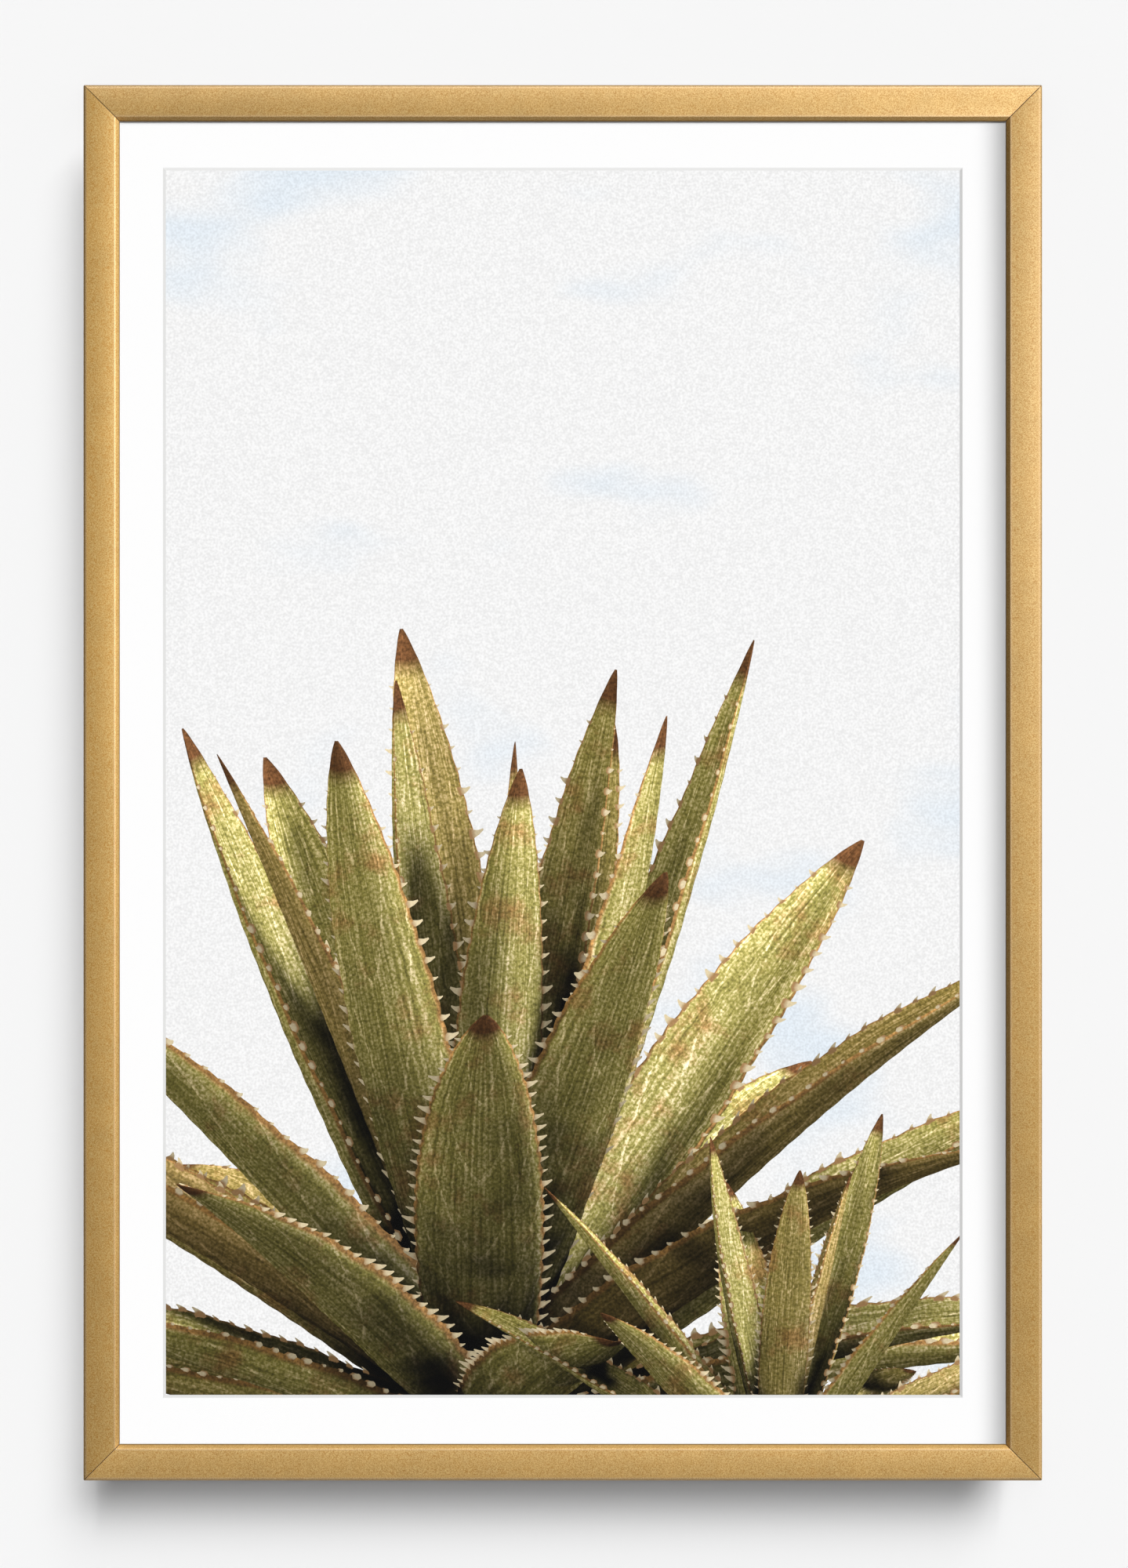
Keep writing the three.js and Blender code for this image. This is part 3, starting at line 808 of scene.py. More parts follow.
class PICTURE_OT_sheets(bpy.types.Operator):
    """Build the clear sheet; finish the window mat, the print's sky and the back"""

    bl_idname = "framed_picture.sheets"
    bl_label = "Sheets"

    def execute(self, context):
        build_clear_sheet(clear_acrylic())
        finish_node("mat", mat_board(context.scene.picture_mat))
        finish_node("print", printed_sky(context.scene.picture_print))
        finish_node("backing_board", pressed_hardboard(context.scene.picture_back))
        return {"FINISHED"}


# ---- The printed agave ----
# The plant is worked out in the round, lit, and then pressed nearly flat on the print. In
# its own space it is in metres, z up, with the eye in front at -y and the root at 0.

ROWS, ROUND = 128, 36  # places along a leaf and round it
GOLDEN_ANGLE = pi * (3 - 5**0.5)
LEAF_TURN = 2 * pi / ROUND * np.arange(ROUND)
OLD_SEED, YOUNG_SEED, TEETH_SEED = 11, 5, 3
YOUNG_ROOT = (0.165, -0.27, 0.035)
PLANT_SUN = (0.52, -0.5, 0.69)  # towards the sun
SUN_SPREAD = 0.07  # radius of the lamps that stand for it
SKY_LAMPS = 40
EYE_TILT = radians(15)  # how far the eye looks down
ROOT_DROP = 0.03  # the root lies this far below the window
PAPER_GAP = 0.03 * MM  # between the paper and the farthest point


def unit(vectors):
    """The same directions, with a length of 1."""
    return vectors / np.linalg.norm(vectors, axis=-1, keepdims=True)


def rosette(count, length, width, seed):
    """Agave leaves, as points of (leaf, place along s, place round psi). Leaf n stands at
    n golden angles round the stem. Its midrib is the running sum of a direction that
    leans from the stem by lean + bow s^1.6. Its half width follows
    (0.5 + 1.3 s)(1 - s)^0.8. Round the midrib the surface is x = cos psi across, and
    cup x^2 + thickness sin psi high, with a tenth of the thickness above."""
    rng = np.random.default_rng(seed)
    wild = rng.uniform(-1, 1, (8, count, 1))
    k = ((np.arange(count) + 0.5) / count)[:, None]  # 0 at the heart, 1 outside
    s = np.linspace(0, 0.996, ROWS)[None]
    angle = np.arange(count)[:, None] * GOLDEN_ANGLE + radians(9) * wild[0]
    lean = radians(4) + radians(76) * k**0.85 + radians(5) * wild[1]
    lean = lean + (radians(34) * k - radians(6) + radians(9) * wild[2]) * s**1.6
    reach = length * (0.74 + 0.26 * np.sin(pi * k**0.7)) * (1 + 0.07 * wild[3])

    def running(f):
        """The running sum of f along s, each step at the mean of its two ends."""
        steps = (f[:, 1:] + f[:, :-1]) / 2 * np.diff(s)
        return np.concatenate([np.zeros((count, 1)), np.cumsum(steps, 1)], 1)

    out = length * (0.02 + 0.09 * k) + reach * running(np.sin(lean))
    up = length * 0.2 * (1 - k) + reach * running(np.cos(lean))
    sway = reach * 0.05 * wild[4] * s**2
    axis = np.stack([np.cos(angle), np.sin(angle), 0 * angle], -1)
    level = np.stack([-np.sin(angle), np.cos(angle), 0 * angle], -1)
    high = np.array([0, 0, 1.0])
    midrib = out[..., None] * axis + sway[..., None] * level + up[..., None] * high
    lifted = np.sin(lean)[..., None] * high - np.cos(lean)[..., None] * axis
    twist = (radians(16) * wild[5] * s)[..., None]
    side = np.cos(twist) * level + np.sin(twist) * lifted
    normal = np.cos(twist) * lifted - np.sin(twist) * level

    half = width / 2 * (0.62 + 0.38 * np.minimum(1, 2.4 * k)) * (1 + 0.06 * wild[6])
    half = half * (0.5 + 1.3 * s) * (1 - s) ** 0.8 / 0.68
    half = half * (1 + 0.018 * np.sin(2 * pi * (24 * s + wild[7])))
    thick = half * (0.34 - 0.12 * s)
    cup = half * (0.55 - 0.25 * s) * (1 + 0.25 * wild[1])
    x, y = np.cos(LEAF_TURN), np.sin(LEAF_TURN)
    height = cup[..., None] * x**2 + thick[..., None] * np.where(y < 0, y, 0.1 * y)
    ripple = 0.02 * np.sin(2 * pi * (5 * s + wild[0]))[..., None] * (half[..., None] * x**2)
    points = midrib[..., None, :] + (half[..., None] * x)[..., None] * side[..., None, :]
    points = points + (height + ripple)[..., None] * normal[..., None, :]
    seeds = np.broadcast_to(wild[2][..., None] * 5, points.shape[:3])
    return points, seeds


def surface_normals(points):
    """Outward unit normals: the slope along crossed with the slope round."""
    along = np.gradient(points, axis=1)
    around = np.roll(points, -1, 2) - np.roll(points, 1, 2)
    return unit(np.cross(around, along))


def in_sight(points, towards, cell=4 * MM):
    """How freely each point sees a far lamp, 0 to 1. The space across the light is split
    in cells, and each keeps its nearest depth, spread one cell all round. A point is in
    full light up to two cells behind that, and in full shadow from four cells on."""
    a = unit(np.cross(towards, (0.31, 0.17, 0.94)))
    b = np.cross(towards, a)
    flat = points.reshape(-1, 3)
    grid = np.floor(np.stack([flat @ a, flat @ b], -1) / cell).astype(int)
    grid -= grid.min(0) - 1
    depth = flat @ towards
    nearest = np.full(grid.max(0) + 2, -1e3)
    np.maximum.at(nearest, tuple(grid.T), depth)
    for axis in (0, 1):
        nearest = np.max([np.roll(nearest, step, axis) for step in (-1, 0, 1)], 0)
    behind = nearest[tuple(grid.T)] - depth
    return np.clip(2 - behind / (2 * cell), 0, 1).reshape(points.shape[:-1])


def plant_light(points, normals):
    """Sun and sky on every point. The sun is the mean over nine lamps at and round its
    place, each normal . lamp times how freely it is seen. The sky is the same over lamps
    spread evenly on a sphere down to 30 degrees below level, brighter above."""
    middle = unit(np.array(PLANT_SUN))
    a = unit(np.cross(middle, (0, 0, 1)))
    b = np.cross(middle, a)
    turns = np.arange(8) * pi / 4
    ring = SUN_SPREAD * (np.cos(turns)[:, None] * a + np.sin(turns)[:, None] * b)
    lamps = unit(middle + np.vstack([[0, 0, 0], ring]))
    sun = np.mean([np.maximum(normals @ lamp, 0) * in_sight(points, lamp) for lamp in lamps], 0)
    n = np.arange(SKY_LAMPS) + 0.5
    rise = 1 - 1.5 * n / SKY_LAMPS  # from straight up to half way down
    flat = np.sqrt(1 - rise**2)
    turn = n * GOLDEN_ANGLE
    domes = np.stack([flat * np.cos(turn), flat * np.sin(turn), rise], -1)
    weight = 0.55 + 0.45 * rise
    sky = sum(
        w * np.maximum(normals @ dome, 0) * in_sight(points, dome)
        for w, dome in zip(weight, domes)
    )
    return sun, sky / (0.25 * weight.sum())


def even_out(values):
    """Mean of each value and its neighbours along and round the leaf."""
    around = (np.roll(values, 1, 2) + 2 * values + np.roll(values, -1, 2)) / 4
    padded = np.pad(around, ((0, 0), (1, 1), (0, 0)), mode="edge")
    return (padded[:, :-2] + 2 * around + padded[:, 2:]) / 4


def pressed(points, settings, near, far):
    """Plant space to the print. The eye looks down by tilt, so a point shows at height
    z cos tilt + y sin tilt, and its depth y cos tilt - z sin tilt, from near to far,
    becomes a height over the paper from relief to nothing."""
    x, y, z = np.moveaxis(points, -1, 0)
    show = z * np.cos(EYE_TILT) + y * np.sin(EYE_TILT)
    depth = y * np.cos(EYE_TILT) - z * np.sin(EYE_TILT)
    rise = np.clip((far - depth) / (far - near), -0.2, 1.2) * settings.relief
    root = CENTRE.z - WINDOW_Z - ROOT_DROP
    placed = [x + CENTRE.x - settings.offset, PRINT_FACE - PAPER_GAP - rise, root + show]
    return np.stack(placed, -1), depth


def trim_to_window(edit):
    """Cuts off whatever would lie under the mat and closes the cuts."""
    margin = 0.05 * MM
    for axis, half in ((0, WINDOW_X), (2, WINDOW_Z)):
        for side in (-1, 1):
            normal = Vector((0, 0, 0))
            normal[axis] = side
            edge = CENTRE + normal * (half - margin)
            inside = [(v.co - edge).dot(normal) < 0 for v in edit.verts]
            if all(inside):
                continue
            if not any(inside):
                bmesh.ops.delete(edit, geom=edit.verts, context="VERTS")
                return
            bmesh.ops.bisect_plane(edit, geom=[*edit.verts, *edit.edges, *edit.faces],
                                   dist=1e-7, plane_co=edge, plane_no=normal, clear_outer=True)
            rims = [e for e in edit.edges if e.is_boundary]
            bmesh.ops.holes_fill(edit, edges=rims, sides=0)


def teeth(points, sun):
    """Hooked teeth along both margins of every leaf, a tooth on every fourth row, some of
    them stunted. Each is a cone whose axis runs out from the margin by q and turns to the
    leaf's tip by q^2 / 2, q from inside the leaf towards the point. Returns (tooth, ring,
    place round) points, each point's q and its leaf's light."""
    rng = np.random.default_rng(TEETH_SEED)
    rows = np.arange(12, ROWS - 10, 4)
    spots, outs, ways, lights = [], [], [], []
    for place in (0, ROUND // 2):
        edge = points[:, :, place]
        spots.append(edge[:, rows])
        outs.append(unit(edge - points.mean(2))[:, rows])
        ways.append(unit(edge[:, rows + 1] - edge[:, rows - 1]))
        lights.append(sun[:, :, [place - 1, place, place + 1]].max(2)[:, rows])
    spot, out, way = (
        np.concatenate(part, 1).reshape(-1, 1, 1, 3) for part in (spots, outs, ways)
    )
    light = np.concatenate(lights, 1).reshape(-1, 1, 1)
    width = np.linalg.norm(points[:, :, 0] - points[:, :, ROUND // 2], axis=-1)[:, rows]
    size = np.tile(np.clip(width, 0.012, 0.05), (1, 2)).reshape(-1, 1, 1, 1) * 0.17
    size = size * rng.uniform(0.3, 1.25, size.shape) ** 0.7
    q = np.array([-0.3, 0.0, 0.35, 0.7])[None, :, None, None]
    turn = (np.arange(6) * pi / 3)[None, None, :, None]
    across = unit(np.cross(out, way))
    body = np.maximum(0, 1 - q) ** 1.2 * 0.3
    axis = spot + size * (q * out + 0.5 * np.maximum(q, 0) ** 2 * way)
    rings = axis + size * body * (np.cos(turn) * way + 0.6 * np.sin(turn) * across)
    q = np.broadcast_to(q[..., 0], rings.shape[:3])
    return rings, q, np.broadcast_to(light, rings.shape[:3])


def many_lofts(rings, *fields):
    """The same pointed loft for every shape in rings. Returns all vertices, all faces and
    each field's value at every vertex."""
    _, faces, _ = loft(rings[0], pointed=True)
    size = rings[0].size // 3 + 1
    tips = rings[:, -1].mean(1)[:, None]
    vertices = np.concatenate([rings.reshape(len(rings), -1, 3), tips], 1).reshape(-1, 3)
    shifts = range(0, size * len(rings), size)
    faces = [[corner + shift for corner in face] for shift in shifts for face in faces]
    spread = []
    for field in fields:
        tip = field[:, -1].max(1)[:, None]
        spread.append(np.concatenate([field.reshape(len(rings), -1), tip], 1).ravel())
    return vertices, faces, *spread


class PICTURE_OT_plant(bpy.types.Operator):
    """Print the agave and its young plant on the paper, leaf by leaf"""

    bl_idname = "framed_picture.plant"
    bl_label = "Printed Plant"

    def execute(self, context):
        settings = context.scene.picture_plant
        length, width = settings.leaf_length, settings.leaf_width
        old, old_seeds = rosette(settings.leaves, length, width, OLD_SEED)
        size = settings.pup_size
        young, young_seeds = rosette(
            settings.pup_leaves, length * size, width * size, YOUNG_SEED)
        points = np.concatenate([old, young + np.array(YOUNG_ROOT)])
        seeds = np.concatenate([old_seeds, young_seeds])
        sun, sky = plant_light(points, surface_normals(points))
        sun, sky = even_out(sun), even_out(sky)

        flat, depth = pressed(points, settings, 0, 1)
        shown = np.abs(flat - np.array(CENTRE))[..., [0, 2]] < (WINDOW_X, WINDOW_Z)
        depth = depth[shown.all(-1)]
        near, far = depth.min(), depth.max()
        flat, _ = pressed(points, settings, near, far)

        # u is the place across the leaf and v the place along it, for each point and the tip.
        across, along = np.cos(LEAF_TURN)[None], np.linspace(0, 1, ROWS)[:, None]
        uv = np.stack(np.broadcast_arrays(across, along), -1).reshape(-1, 2)
        uv = np.vstack([uv, [0, 1]])
        leaf = printed_leaf(settings)
        for number, rings in enumerate(flat):
            vertices, faces, _ = loft(rings, pointed=True)
            values = {
                name: np.append(field[number].ravel(), field[number, -1].mean())
                for name, field in (("sun", sun), ("sky", sky), ("seed", seeds))
            }
            piece(f"printed_leaf_{number + 1}", vertices, faces, [leaf],
                  uv=uv, values=values, trim=trim_to_window)

        rings, q, light = teeth(points, sun + 0.3 * sky)
        flat, _ = pressed(rings, settings, near, far)
        vertices, faces, point, lit = many_lofts(flat, q, light)
        piece("printed_teeth", vertices, faces, [printed_tooth(settings)],
              values={"point": point, "sun": lit}, trim=trim_to_window)
        return {"FINISHED"}


# ---- Back hardware ----


def rounded_section(half_width, half_height, radius, steps=3):
    """A rectangle with quarter-round corners, anticlockwise. The half width may be an
    array, and then there is a section for each of its values."""
    turn = np.linspace(0, 0.5, steps) * pi
    angle = (turn[None] + np.arange(4)[:, None] * pi / 2).ravel()
    sign_x = np.repeat([1, -1, -1, 1], steps)
    sign_y = np.repeat([1, 1, -1, -1], steps)
    wide = np.atleast_1d(half_width)[:, None]
    r = np.minimum(radius, np.minimum(wide, half_height))
    x = sign_x * (wide - r) + r * np.cos(angle)
    y = sign_y * (half_height - r) + r * np.sin(angle)
    return x, y


def build_hanger(material):
    """The toothed strip. Its centre line is level at the feet, leaves the back by a
    smooth step over each ramp and is level over the bridge; its section, a rounded
    rectangle, is carried along it. The lower edge is a triangle wave over the bridge, and
    the feet end in quarter rounds."""
    low, high = HANGER_BOX
    thick = 1 * MM
    middle, half = (low.x + high.x) / 2, (high.x - low.x) / 2
    bridge, ramp, corner = 19 * MM, 4 * MM, 3 * MM
    pitch, depth, toothed = 4 * MM, 1.6 * MM, 16 * MM
    ease = 0.6 * MM  # the step starts and ends this far outside the ramp
    round_end = corner * (1 - np.cos(np.linspace(0, 0.5, 8) * pi))[:-1]
    plain = np.arange(half - corner, -half + corner - 1e-9, -0.25 * MM)
    x = np.concatenate([half - round_end, plain, (-half + round_end)[::-1]])
    into = np.clip(half - np.abs(x), 0, corner)
    inset = corner - np.sqrt(corner**2 - (corner - into) ** 2)
    wave = 1 - np.abs((x + toothed) % pitch / (pitch / 2) - 1)
    wave = np.clip(wave, 0.1, 0.93) - 0.1  # blunt roots and points
    bottom = low.z + inset + np.where(np.abs(x) < toothed, depth * wave, 0)
    top = high.z - inset
    t = np.clip((np.abs(x) - bridge + ease) / (ramp + 2 * ease), 0, 1)
    foot_y, bridge_y = low.y + thick / 2, high.y - thick / 2
    y = bridge_y + (foot_y - bridge_y) * t * t * (3 - 2 * t)
    slope = np.gradient(y, x)
    across = unit(np.stack([-slope, np.ones_like(slope)], -1))
    sz, sn = rounded_section((top - bottom) / 2, thick / 2, 0.18 * MM)
    rings = np.stack([
        middle + x[:, None] + sn * across[:, :1],
        y[:, None] + sn * across[:, 1:],
        ((top + bottom) / 2)[:, None] + sz,
    ], -1)
    stand_in("hanger", "hanger_strip", rings, material)


def build_rivet(side, material):
    """A profile turned about the rivet's own axis: straight shank, thin rim, and a head
    whose dome is an ellipse with a shallow dimple from the setting punch."""
    low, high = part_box(f"rivet_{side}")
    middle = (low + high) / 2
    shank, head = 1.6 * MM, (high.x - low.x) / 2
    under = HANGER_BOX[0].y + 1 * MM
    rise = high.y - under
    a = np.linspace(0, 0.46, 12) * pi
    dome_r = head * np.cos(a)
    dimple = 0.22 * np.exp(-((dome_r / (0.35 * head)) ** 2))
    dome_y = under + rise * (0.25 + 0.75 * np.sin(a) - dimple)
    r = np.concatenate([[shank, shank, head - 0.1 * MM, head], dome_r])
    y = np.concatenate([[low.y, under, under, under + 0.08 * MM], dome_y])
    turn = np.arange(40) * pi / 20
    x = middle.x + r[:, None] * np.cos(turn)
    z = middle.z + r[:, None] * np.sin(turn)
    rings = np.stack(np.broadcast_arrays(x, y[:, None], z), -1)
    stand_in(f"rivet_{side}", f"rivet_head_{side}", rings, material)


def build_tab(side, number, out, material):
    """A bendable tab. Its half width is pointed in the wood and a half circle over the
    back, and the free part bows up by sin^2 before it comes down on the board."""
    node = f"tab_{side}_{number}"
    low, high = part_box(node)
    centre = (low + high) / 2
    out = Vector(out)
    along = abs(out.x) * (high.x - low.x) + abs(out.z) * (high.z - low.z)
    half, driven, point, bow = 4 * MM, 6 * MM, 2.5 * MM, 0.35 * MM
    free = along - driven
    d = np.concatenate([
        half * (1 - np.cos(np.linspace(0.03, 0.5, 9) * pi)),
        np.linspace(half, free, 8)[1:],
        np.linspace(free, along - point, 4)[1:],
        np.linspace(along - point, along - 0.1 * MM, 4)[1:],
    ])
    wide = np.sqrt(np.maximum(half**2 - np.maximum(half - d, 0) ** 2, 0))
    wide = np.minimum(wide, half * np.clip((along - d) / point, 0, 1))
    lift = bow * np.sin(pi * np.clip(d / free, 0, 1)) ** 2
    thick = high.y - low.y
    sx, sn = rounded_section(wide, thick / 2, 0.14 * MM)
    inner = centre - out * (along / 2)
    cross = Vector((abs(out.z), 0, abs(out.x)))
    back = np.array((0, 1, 0))
    spot = np.array(inner) + d[:, None] * np.array(out) + lift[:, None] * back
    rings = spot[:, None] + sx[..., None] * np.array(cross) + sn[..., None] * back
    stand_in(node, f"{node}_bent", rings, material)


def build_corner_nail(up, across, material):
    """An angle nail across the mitre, flush with the rear: an L outline, its corner
    towards the middle, drawn back a little at the rim."""
    node = f"corner_nail_{'top' if up > 0 else 'bottom'}_{'right' if across > 0 else 'left'}"
    low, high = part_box(node)
    thick, bevel, proud = 0.5 * MM, 0.08 * MM, 0.03 * MM
    corner = np.array([low.x if across > 0 else high.x, low.z if up > 0 else high.z])
    leg = high.x - low.x
    outline = np.array([(0, 0), (leg, 0), (leg, thick), (thick, thick), (thick, leg), (0, leg)])
    inward = np.array([(1, 1), (-1, 1), (-1, -1), (1, 1), (-1, -1), (1, -1)]) * bevel
    rings = []
    for shrink, y in ((0, low.y), (0, -bevel), (1, proud)):
        flat = corner + (outline + shrink * inward) * (across, up)
        rings.append(np.stack([flat[:, 0], np.full(6, y), flat[:, 1]], -1))
    stand_in(node, f"{node}_flush", np.array(rings), material)


class PICTURE_OT_hardware(bpy.types.Operator):
    """Build the hanger, its rivets, the bent tabs and the corner nails"""

    bl_idname = "framed_picture.hardware"
    bl_label = "Back Hardware"

    def execute(self, context):
        steel = zinc_steel(context.scene.picture_back)
        build_hanger(steel)
        for side in ("left", "right"):
            build_rivet(side, steel)
        sides = {"top": (0, 0, 1), "right": (1, 0, 0), "bottom": (0, 0, -1), "left": (-1, 0, 0)}
        for side, out in sides.items():
            for number in range(1, 3 if out[2] else 5):  # two on a short side, or four
                build_tab(side, number, out, steel)
        for up in (-1, 1):
            for across in (-1, 1):
                build_corner_nail(up, across, steel)
        return {"FINISHED"}


# ---- Stage ----

HANGING_HEIGHT = 1.45  # from the floor to the picture's middle
ROOM_SIDE = 4.0  # half the wall's and the floor's width, and half the floor's depth
WALL_TOP = 3.0
CAMERA_DISTANCE = 4.0  # from the picture's face
CAMERA_SHIFT = 0.7 * MM
PICTURE_SHARE = 0.8504  # of the view's width, so a little wall shows on both sides
SENSOR = 36  # millimetres


def flat_quad(name, corners, material):
    """A stage piece: one face over four corners."""
    mesh = bpy.data.meshes.new(name)
    mesh.from_pydata(corners, [], [(0, 1, 2, 3)])
    mesh.materials.append(material)
    made = bpy.data.objects.new(name, mesh)
    bpy.context.scene.collection.objects.link(made)
    made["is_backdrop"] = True
    return made


def stage_material(name, hex_colour, one_sided=False, mirrored=None):
    """Plain matte paint. One-sided paint lets the view through from behind, and a mirrored
    colour takes its place in reflections."""
    material, tree = new_material(name)
    mirror = add(tree, "ShaderNodeLightPath").outputs["Is Glossy Ray"]
    tint = add(tree, "ShaderNodeMix",
               {0: mirror, 6: linear(hex_colour), 7: linear(mirrored or hex_colour)},
               data_type="RGBA")
    paint = add(tree, "ShaderNodeBsdfDiffuse", {"Color": tint})
    if one_sided:
        rear = add(tree, "ShaderNodeNewGeometry").outputs["Backfacing"]
        clear = add(tree, "ShaderNodeBsdfTransparent")
        paint = add(tree, "ShaderNodeMixShader", {0: rear, 1: paint, 2: clear})
    add(tree, "ShaderNodeOutputMaterial", {"Surface": paint})
    return material


def aimed_light(name, kind, towards, receivers):
    """A light of one kind, turned to shine from towards, on the receivers alone."""
    made = bpy.data.objects.new(name, bpy.data.lights.new(name, kind))
    made.rotation_euler = towards.to_track_quat("Z", "Y").to_euler()
    bpy.context.scene.collection.objects.link(made)
    made.light_linking.receiver_collection = receivers
    return made


def distant_lamp(name, numbers, receivers, blockers=None):
    """A distant soft lamp: how far to the right and up its light comes from for each metre
    in front, its angle in degrees, and the part of full white that it gives the wall."""
    right, up, angle, share = numbers
    made = aimed_light(name, "SUN", Vector((right, -1, up)), receivers)
    made.data.energy = share * pi * np.sqrt(1 + right**2 + up**2)
    made.data.angle = radians(angle)
    if blockers:
        made.light_linking.blocker_collection = blockers


def soft_disk(name, numbers, receivers):
    """A round soft lamp near the picture, turned to its middle: its place from there in
    metres, its size in metres and its watts."""
    towards = Vector(numbers[:3])
    made = aimed_light(name, "AREA", towards, receivers)
    made.location = Vector((CENTRE.x, LOW.y, CENTRE.z)) + towards
    made.data.shape = "DISK"
    made.data.size, made.data.energy = numbers[3:]


def gather(name, things):
    """A collection of things, for light linking."""
    group = bpy.data.collections.new(name)
    for thing in things:
        group.objects.link(thing)
    return group


def studio_world():
    """A pale room: dim in front, where the clear sheet would mirror it, a little brighter
    above and to the right, and bright straight behind, for the back."""
    world = bpy.data.worlds.new("studio")
    bpy.context.scene.world = world
    world.use_nodes = True
    tree = world.node_tree
    tree.nodes.clear()
    towards = add(tree, "ShaderNodeTexCoord").outputs["Generated"]
    split = add(tree, "ShaderNodeSeparateXYZ", {0: towards})
    behind = add(tree, "ShaderNodeMapRange",
                 {"Value": split.outputs["Y"], "From Min": 0.6, "From Max": 0.85,
                  "To Min": 0.0, "To Max": 1.2})
    above = add(tree, "ShaderNodeMapRange",
                {"Value": split.outputs["Z"], "From Min": 0.3, "From Max": 1.0,
                 "To Min": 0.0, "To Max": 0.2})
    right = add(tree, "ShaderNodeMapRange",
                {"Value": split.outputs["X"], "From Min": 0.3, "From Max": 1.0,
                 "To Min": 0.0, "To Max": 0.08})
    sides = add(tree, "ShaderNodeMath", {0: above, 1: right}, operation="ADD")
    glow = add(tree, "ShaderNodeMath", {0: behind, 1: sides}, operation="MAXIMUM")
    level = add(tree, "ShaderNodeMath", {0: glow, 1: 0.085}, operation="ADD")
    seen = add(tree, "ShaderNodeLightPath").outputs["Is Camera Ray"]
    lit = add(tree, "ShaderNodeBackground", {"Color": (1, 1, 1, 1), "Strength": level})
    pale = add(tree, "ShaderNodeBackground", {"Color": linear("#F4F4F4"), "Strength": 1.0})
    both = add(tree, "ShaderNodeMixShader", {0: seen, 1: lit, 2: pale})
    add(tree, "ShaderNodeOutputWorld", {"Surface": both})
    world.cycles.sampling_method = "NONE"


# right, up, angle, share: see distant_lamp
CONTACT_LAMP = (0.05, 0.1, 6, 0.063)
ROOM_LAMPS = (
    (0.4, 2.45, 24, 0.172),
    (2.0, 4.4, 10, 0.119),
    (2.0, 4.4, 24, 0.145),
    (0.9, 4.4, 5, 0.063),
    (2.5, 3.6, 10, 0.095),
    (0.9, 4.4, 16, 0.088),
    (2.5, 2.5, 5, 0.042),
    (1.4, 1.4, 5, 0.044),
    (3.4, 3.6, 5, 0.049),
)
PAPER_LAMPS = (
    (0.0, 0.1, 3, 0.39),
    (0.24, 0.1, 10, 0.084),
    (0.48, 0.1, 14, 0.05),
    (0.72, 0.1, 16, 0.091),
    (0.96, 0.1, 16, 0.1),
    (1.2, 0.1, 16, 0.083),
    (1.45, 0.1, 16, 0.067),
    (1.68, 0.1, 14, 0.077),
)
# Each moulding shows its own play of light, so they are lit apart.
MOULDING_LAMPS = {
    "top": (
        (0.35, 0.6, 30, 0.368),
        (0.75, -0.3, 30, 0.15),
        (0.2, 3.0, 30, 0.043),
        (0.3, -1.6, 30, 0.06),
    ),
    "bottom": ((1.6, 0.4, 30, 0.205), (-0.3, 1.6, 30, 0.25), (0.35, 0.25, 40, 0.14)),
    "left": ((-0.6, 1.6, 30, 0.12), (3.0, 0.2, 30, 0.034)),
    "right": ((1.6, 1.6, 30, 0.515), (-0.6, 0.25, 40, 0.075)),
}
# place from the middle of the picture's face, size, watts: see soft_disk
MOULDING_DISKS = {
    "top": ((0.45, -0.6, 0.2, 0.4, 2.1),),
    "bottom": ((0.7, -0.6, 0.3, 0.5, 6.3),),
    "left": ((0.6, -0.9, 0.6, 0.5, 13.9), (0.45, -0.6, 0.2, 0.4, 5.9)),
    "right": ((0.6, -0.9, 0.3, 0.5, 2.1), (0.0, -0.8, 0.2, 0.4, 0.5)),
}


def light_the_picture(room):
    """Lamps of their own for the room, the paper and each moulding."""
    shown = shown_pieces()
    mouldings = [thing for thing in shown if thing.name.startswith("moulding_")]
    joints = [thing for thing in shown if thing.name.startswith("joint_")]
    paper = [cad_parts["mat"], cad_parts["print"]]
    paper += [thing for thing in shown if thing.name.startswith("printed_")]
    for thing in paper:  # the white mat's glare stays off the mouldings' lips
        thing.visible_glossy = False
    for thing in (*paper, *mouldings):  # and their glow off the wall and each other
        thing.visible_diffuse = False
    sheets = gather("lit_paper", paper)
    sides = gather("shading", mouldings)
    # The back board alone shapes the soft shadow on the wall.
    board = gather("shading_wall", [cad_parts["backing_board"]])
    distant_lamp("contact_lamp", CONTACT_LAMP, room, sides)
    for number, numbers in enumerate(ROOM_LAMPS, 1):
        distant_lamp(f"room_lamp_{number}", numbers, room, board)
    for number, numbers in enumerate(PAPER_LAMPS, 1):
        distant_lamp(f"paper_lamp_{number}", numbers, sheets, sides)
    for side, lamps in MOULDING_LAMPS.items():
        wood = [bpy.data.objects[f"moulding_{side}"]]
        wood += [joint for joint in joints if joint.name.endswith(side)]
        wood = gather(f"lit_{side}", wood)
        for number, numbers in enumerate(lamps, 1):
            distant_lamp(f"{side}_lamp_{number}", numbers, wood)
        for number, numbers in enumerate(MOULDING_DISKS[side], 1):
            soft_disk(f"{side}_disk_{number}", numbers, wood)


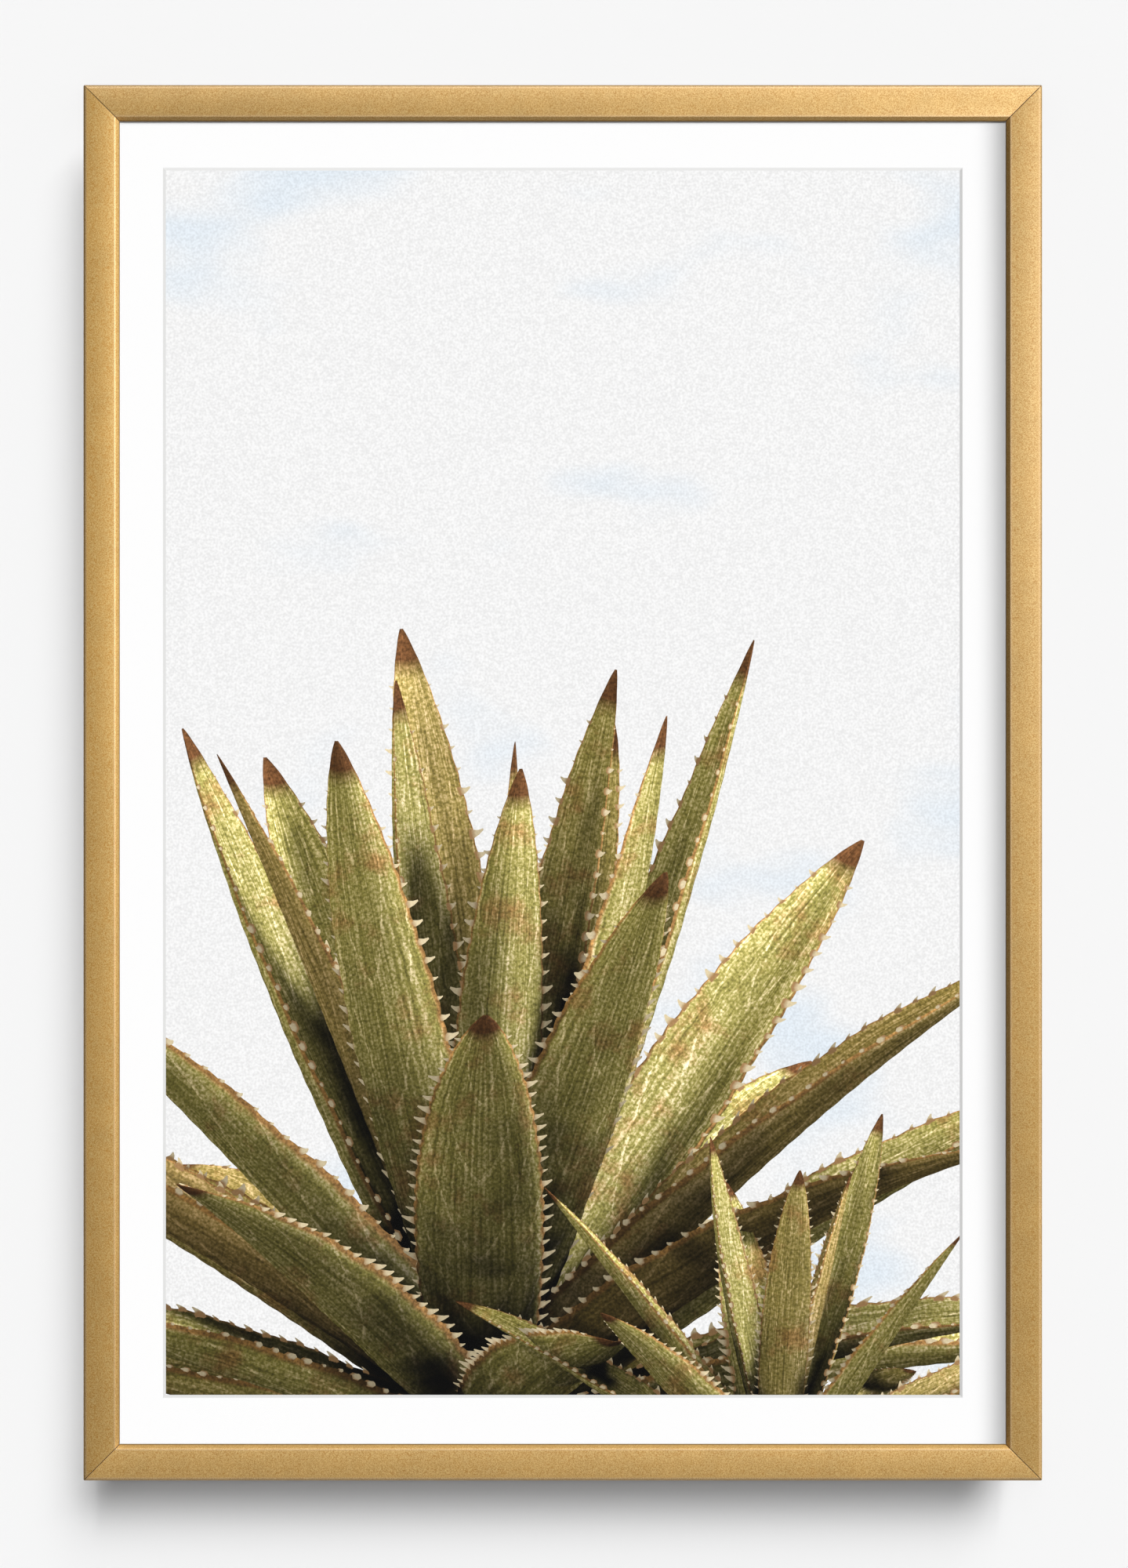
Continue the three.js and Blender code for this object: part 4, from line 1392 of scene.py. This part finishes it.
def place_camera(scene):
    """A camera square to the picture, a hair right of its middle and below it."""
    camera = bpy.data.objects.new("camera", bpy.data.cameras.new("camera"))
    scene.collection.objects.link(camera)
    camera.data.sensor_fit = "HORIZONTAL"
    camera.data.sensor_width = SENSOR
    camera.data.lens = SENSOR * CAMERA_DISTANCE * PICTURE_SHARE / OUTER_WIDTH
    camera.location = CENTRE + Vector((CAMERA_SHIFT, 0, -CAMERA_SHIFT))
    camera.location.y = LOW.y - CAMERA_DISTANCE
    camera.rotation_euler = (pi / 2, 0, 0)
    scene.camera = camera


class PICTURE_OT_stage(bpy.types.Operator):
    """Add the pale wall and floor, the soft lamps and the camera"""

    bl_idname = "framed_picture.stage"
    bl_label = "Stage"

    def execute(self, context):
        floor_z = CENTRE.z - HANGING_HEIGHT
        wall_y = 0.3 * MM  # clear of the picture's rear
        side = ROOM_SIDE
        wall = flat_quad(
            "wall",
            [(-side, wall_y, floor_z), (side, wall_y, floor_z),
             (side, wall_y, WALL_TOP), (-side, wall_y, WALL_TOP)],
            stage_material("wall_paint", "#F7F7F7", one_sided=True),
        )
        wall.visible_shadow = False
        wall.visible_diffuse = False
        wall.visible_glossy = False
        wall.visible_transmission = False
        floor = flat_quad(
            "floor",
            [(-side, -side, floor_z), (side, -side, floor_z),
             (side, side, floor_z), (-side, side, floor_z)],
            stage_material("floor_paint", "#8F8F8E", mirrored="#686868"),
        )
        floor.visible_diffuse = False  # the lamps alone set the balance
        light_the_picture(gather("lit_room", [wall, floor]))
        studio_world()
        place_camera(context.scene)
        context.scene.view_settings.view_transform = "Standard"
        return {"FINISHED"}


class PICTURE_PT_sidebar(bpy.types.Panel):
    """A button for each operator, and the settings"""

    bl_label = "Framed Picture"
    bl_idname = "PICTURE_PT_sidebar"
    bl_space_type = "VIEW_3D"
    bl_region_type = "UI"
    bl_category = "Picture"

    def draw(self, context):
        for operator in OPERATORS:
            self.layout.operator(operator.bl_idname)
        for key in SETTINGS:
            group = getattr(context.scene, key)
            for name in group.__annotations__:
                self.layout.prop(group, name)


SETTINGS = {
    "picture_moulding": MouldingSettings,
    "picture_mat": MatSettings,
    "picture_print": PrintSettings,
    "picture_plant": PlantSettings,
    "picture_back": BackSettings,
}
OPERATORS = (
    PICTURE_OT_mouldings,
    PICTURE_OT_sheets,
    PICTURE_OT_plant,
    PICTURE_OT_hardware,
    PICTURE_OT_stage,
)
CLASSES = (*SETTINGS.values(), *OPERATORS, PICTURE_PT_sidebar)


def register():
    for cls in CLASSES:
        bpy.utils.register_class(cls)
    for key, group in SETTINGS.items():
        setattr(bpy.types.Scene, key, PointerProperty(type=group))


def unregister():
    for key in SETTINGS:
        delattr(bpy.types.Scene, key)
    for cls in reversed(CLASSES):
        bpy.utils.unregister_class(cls)


def main():
    register()
    bpy.ops.framed_picture.mouldings()
    bpy.ops.framed_picture.sheets()
    bpy.ops.framed_picture.plant()
    bpy.ops.framed_picture.hardware()
    bpy.ops.framed_picture.stage()


if __name__ == "__main__":
    main()
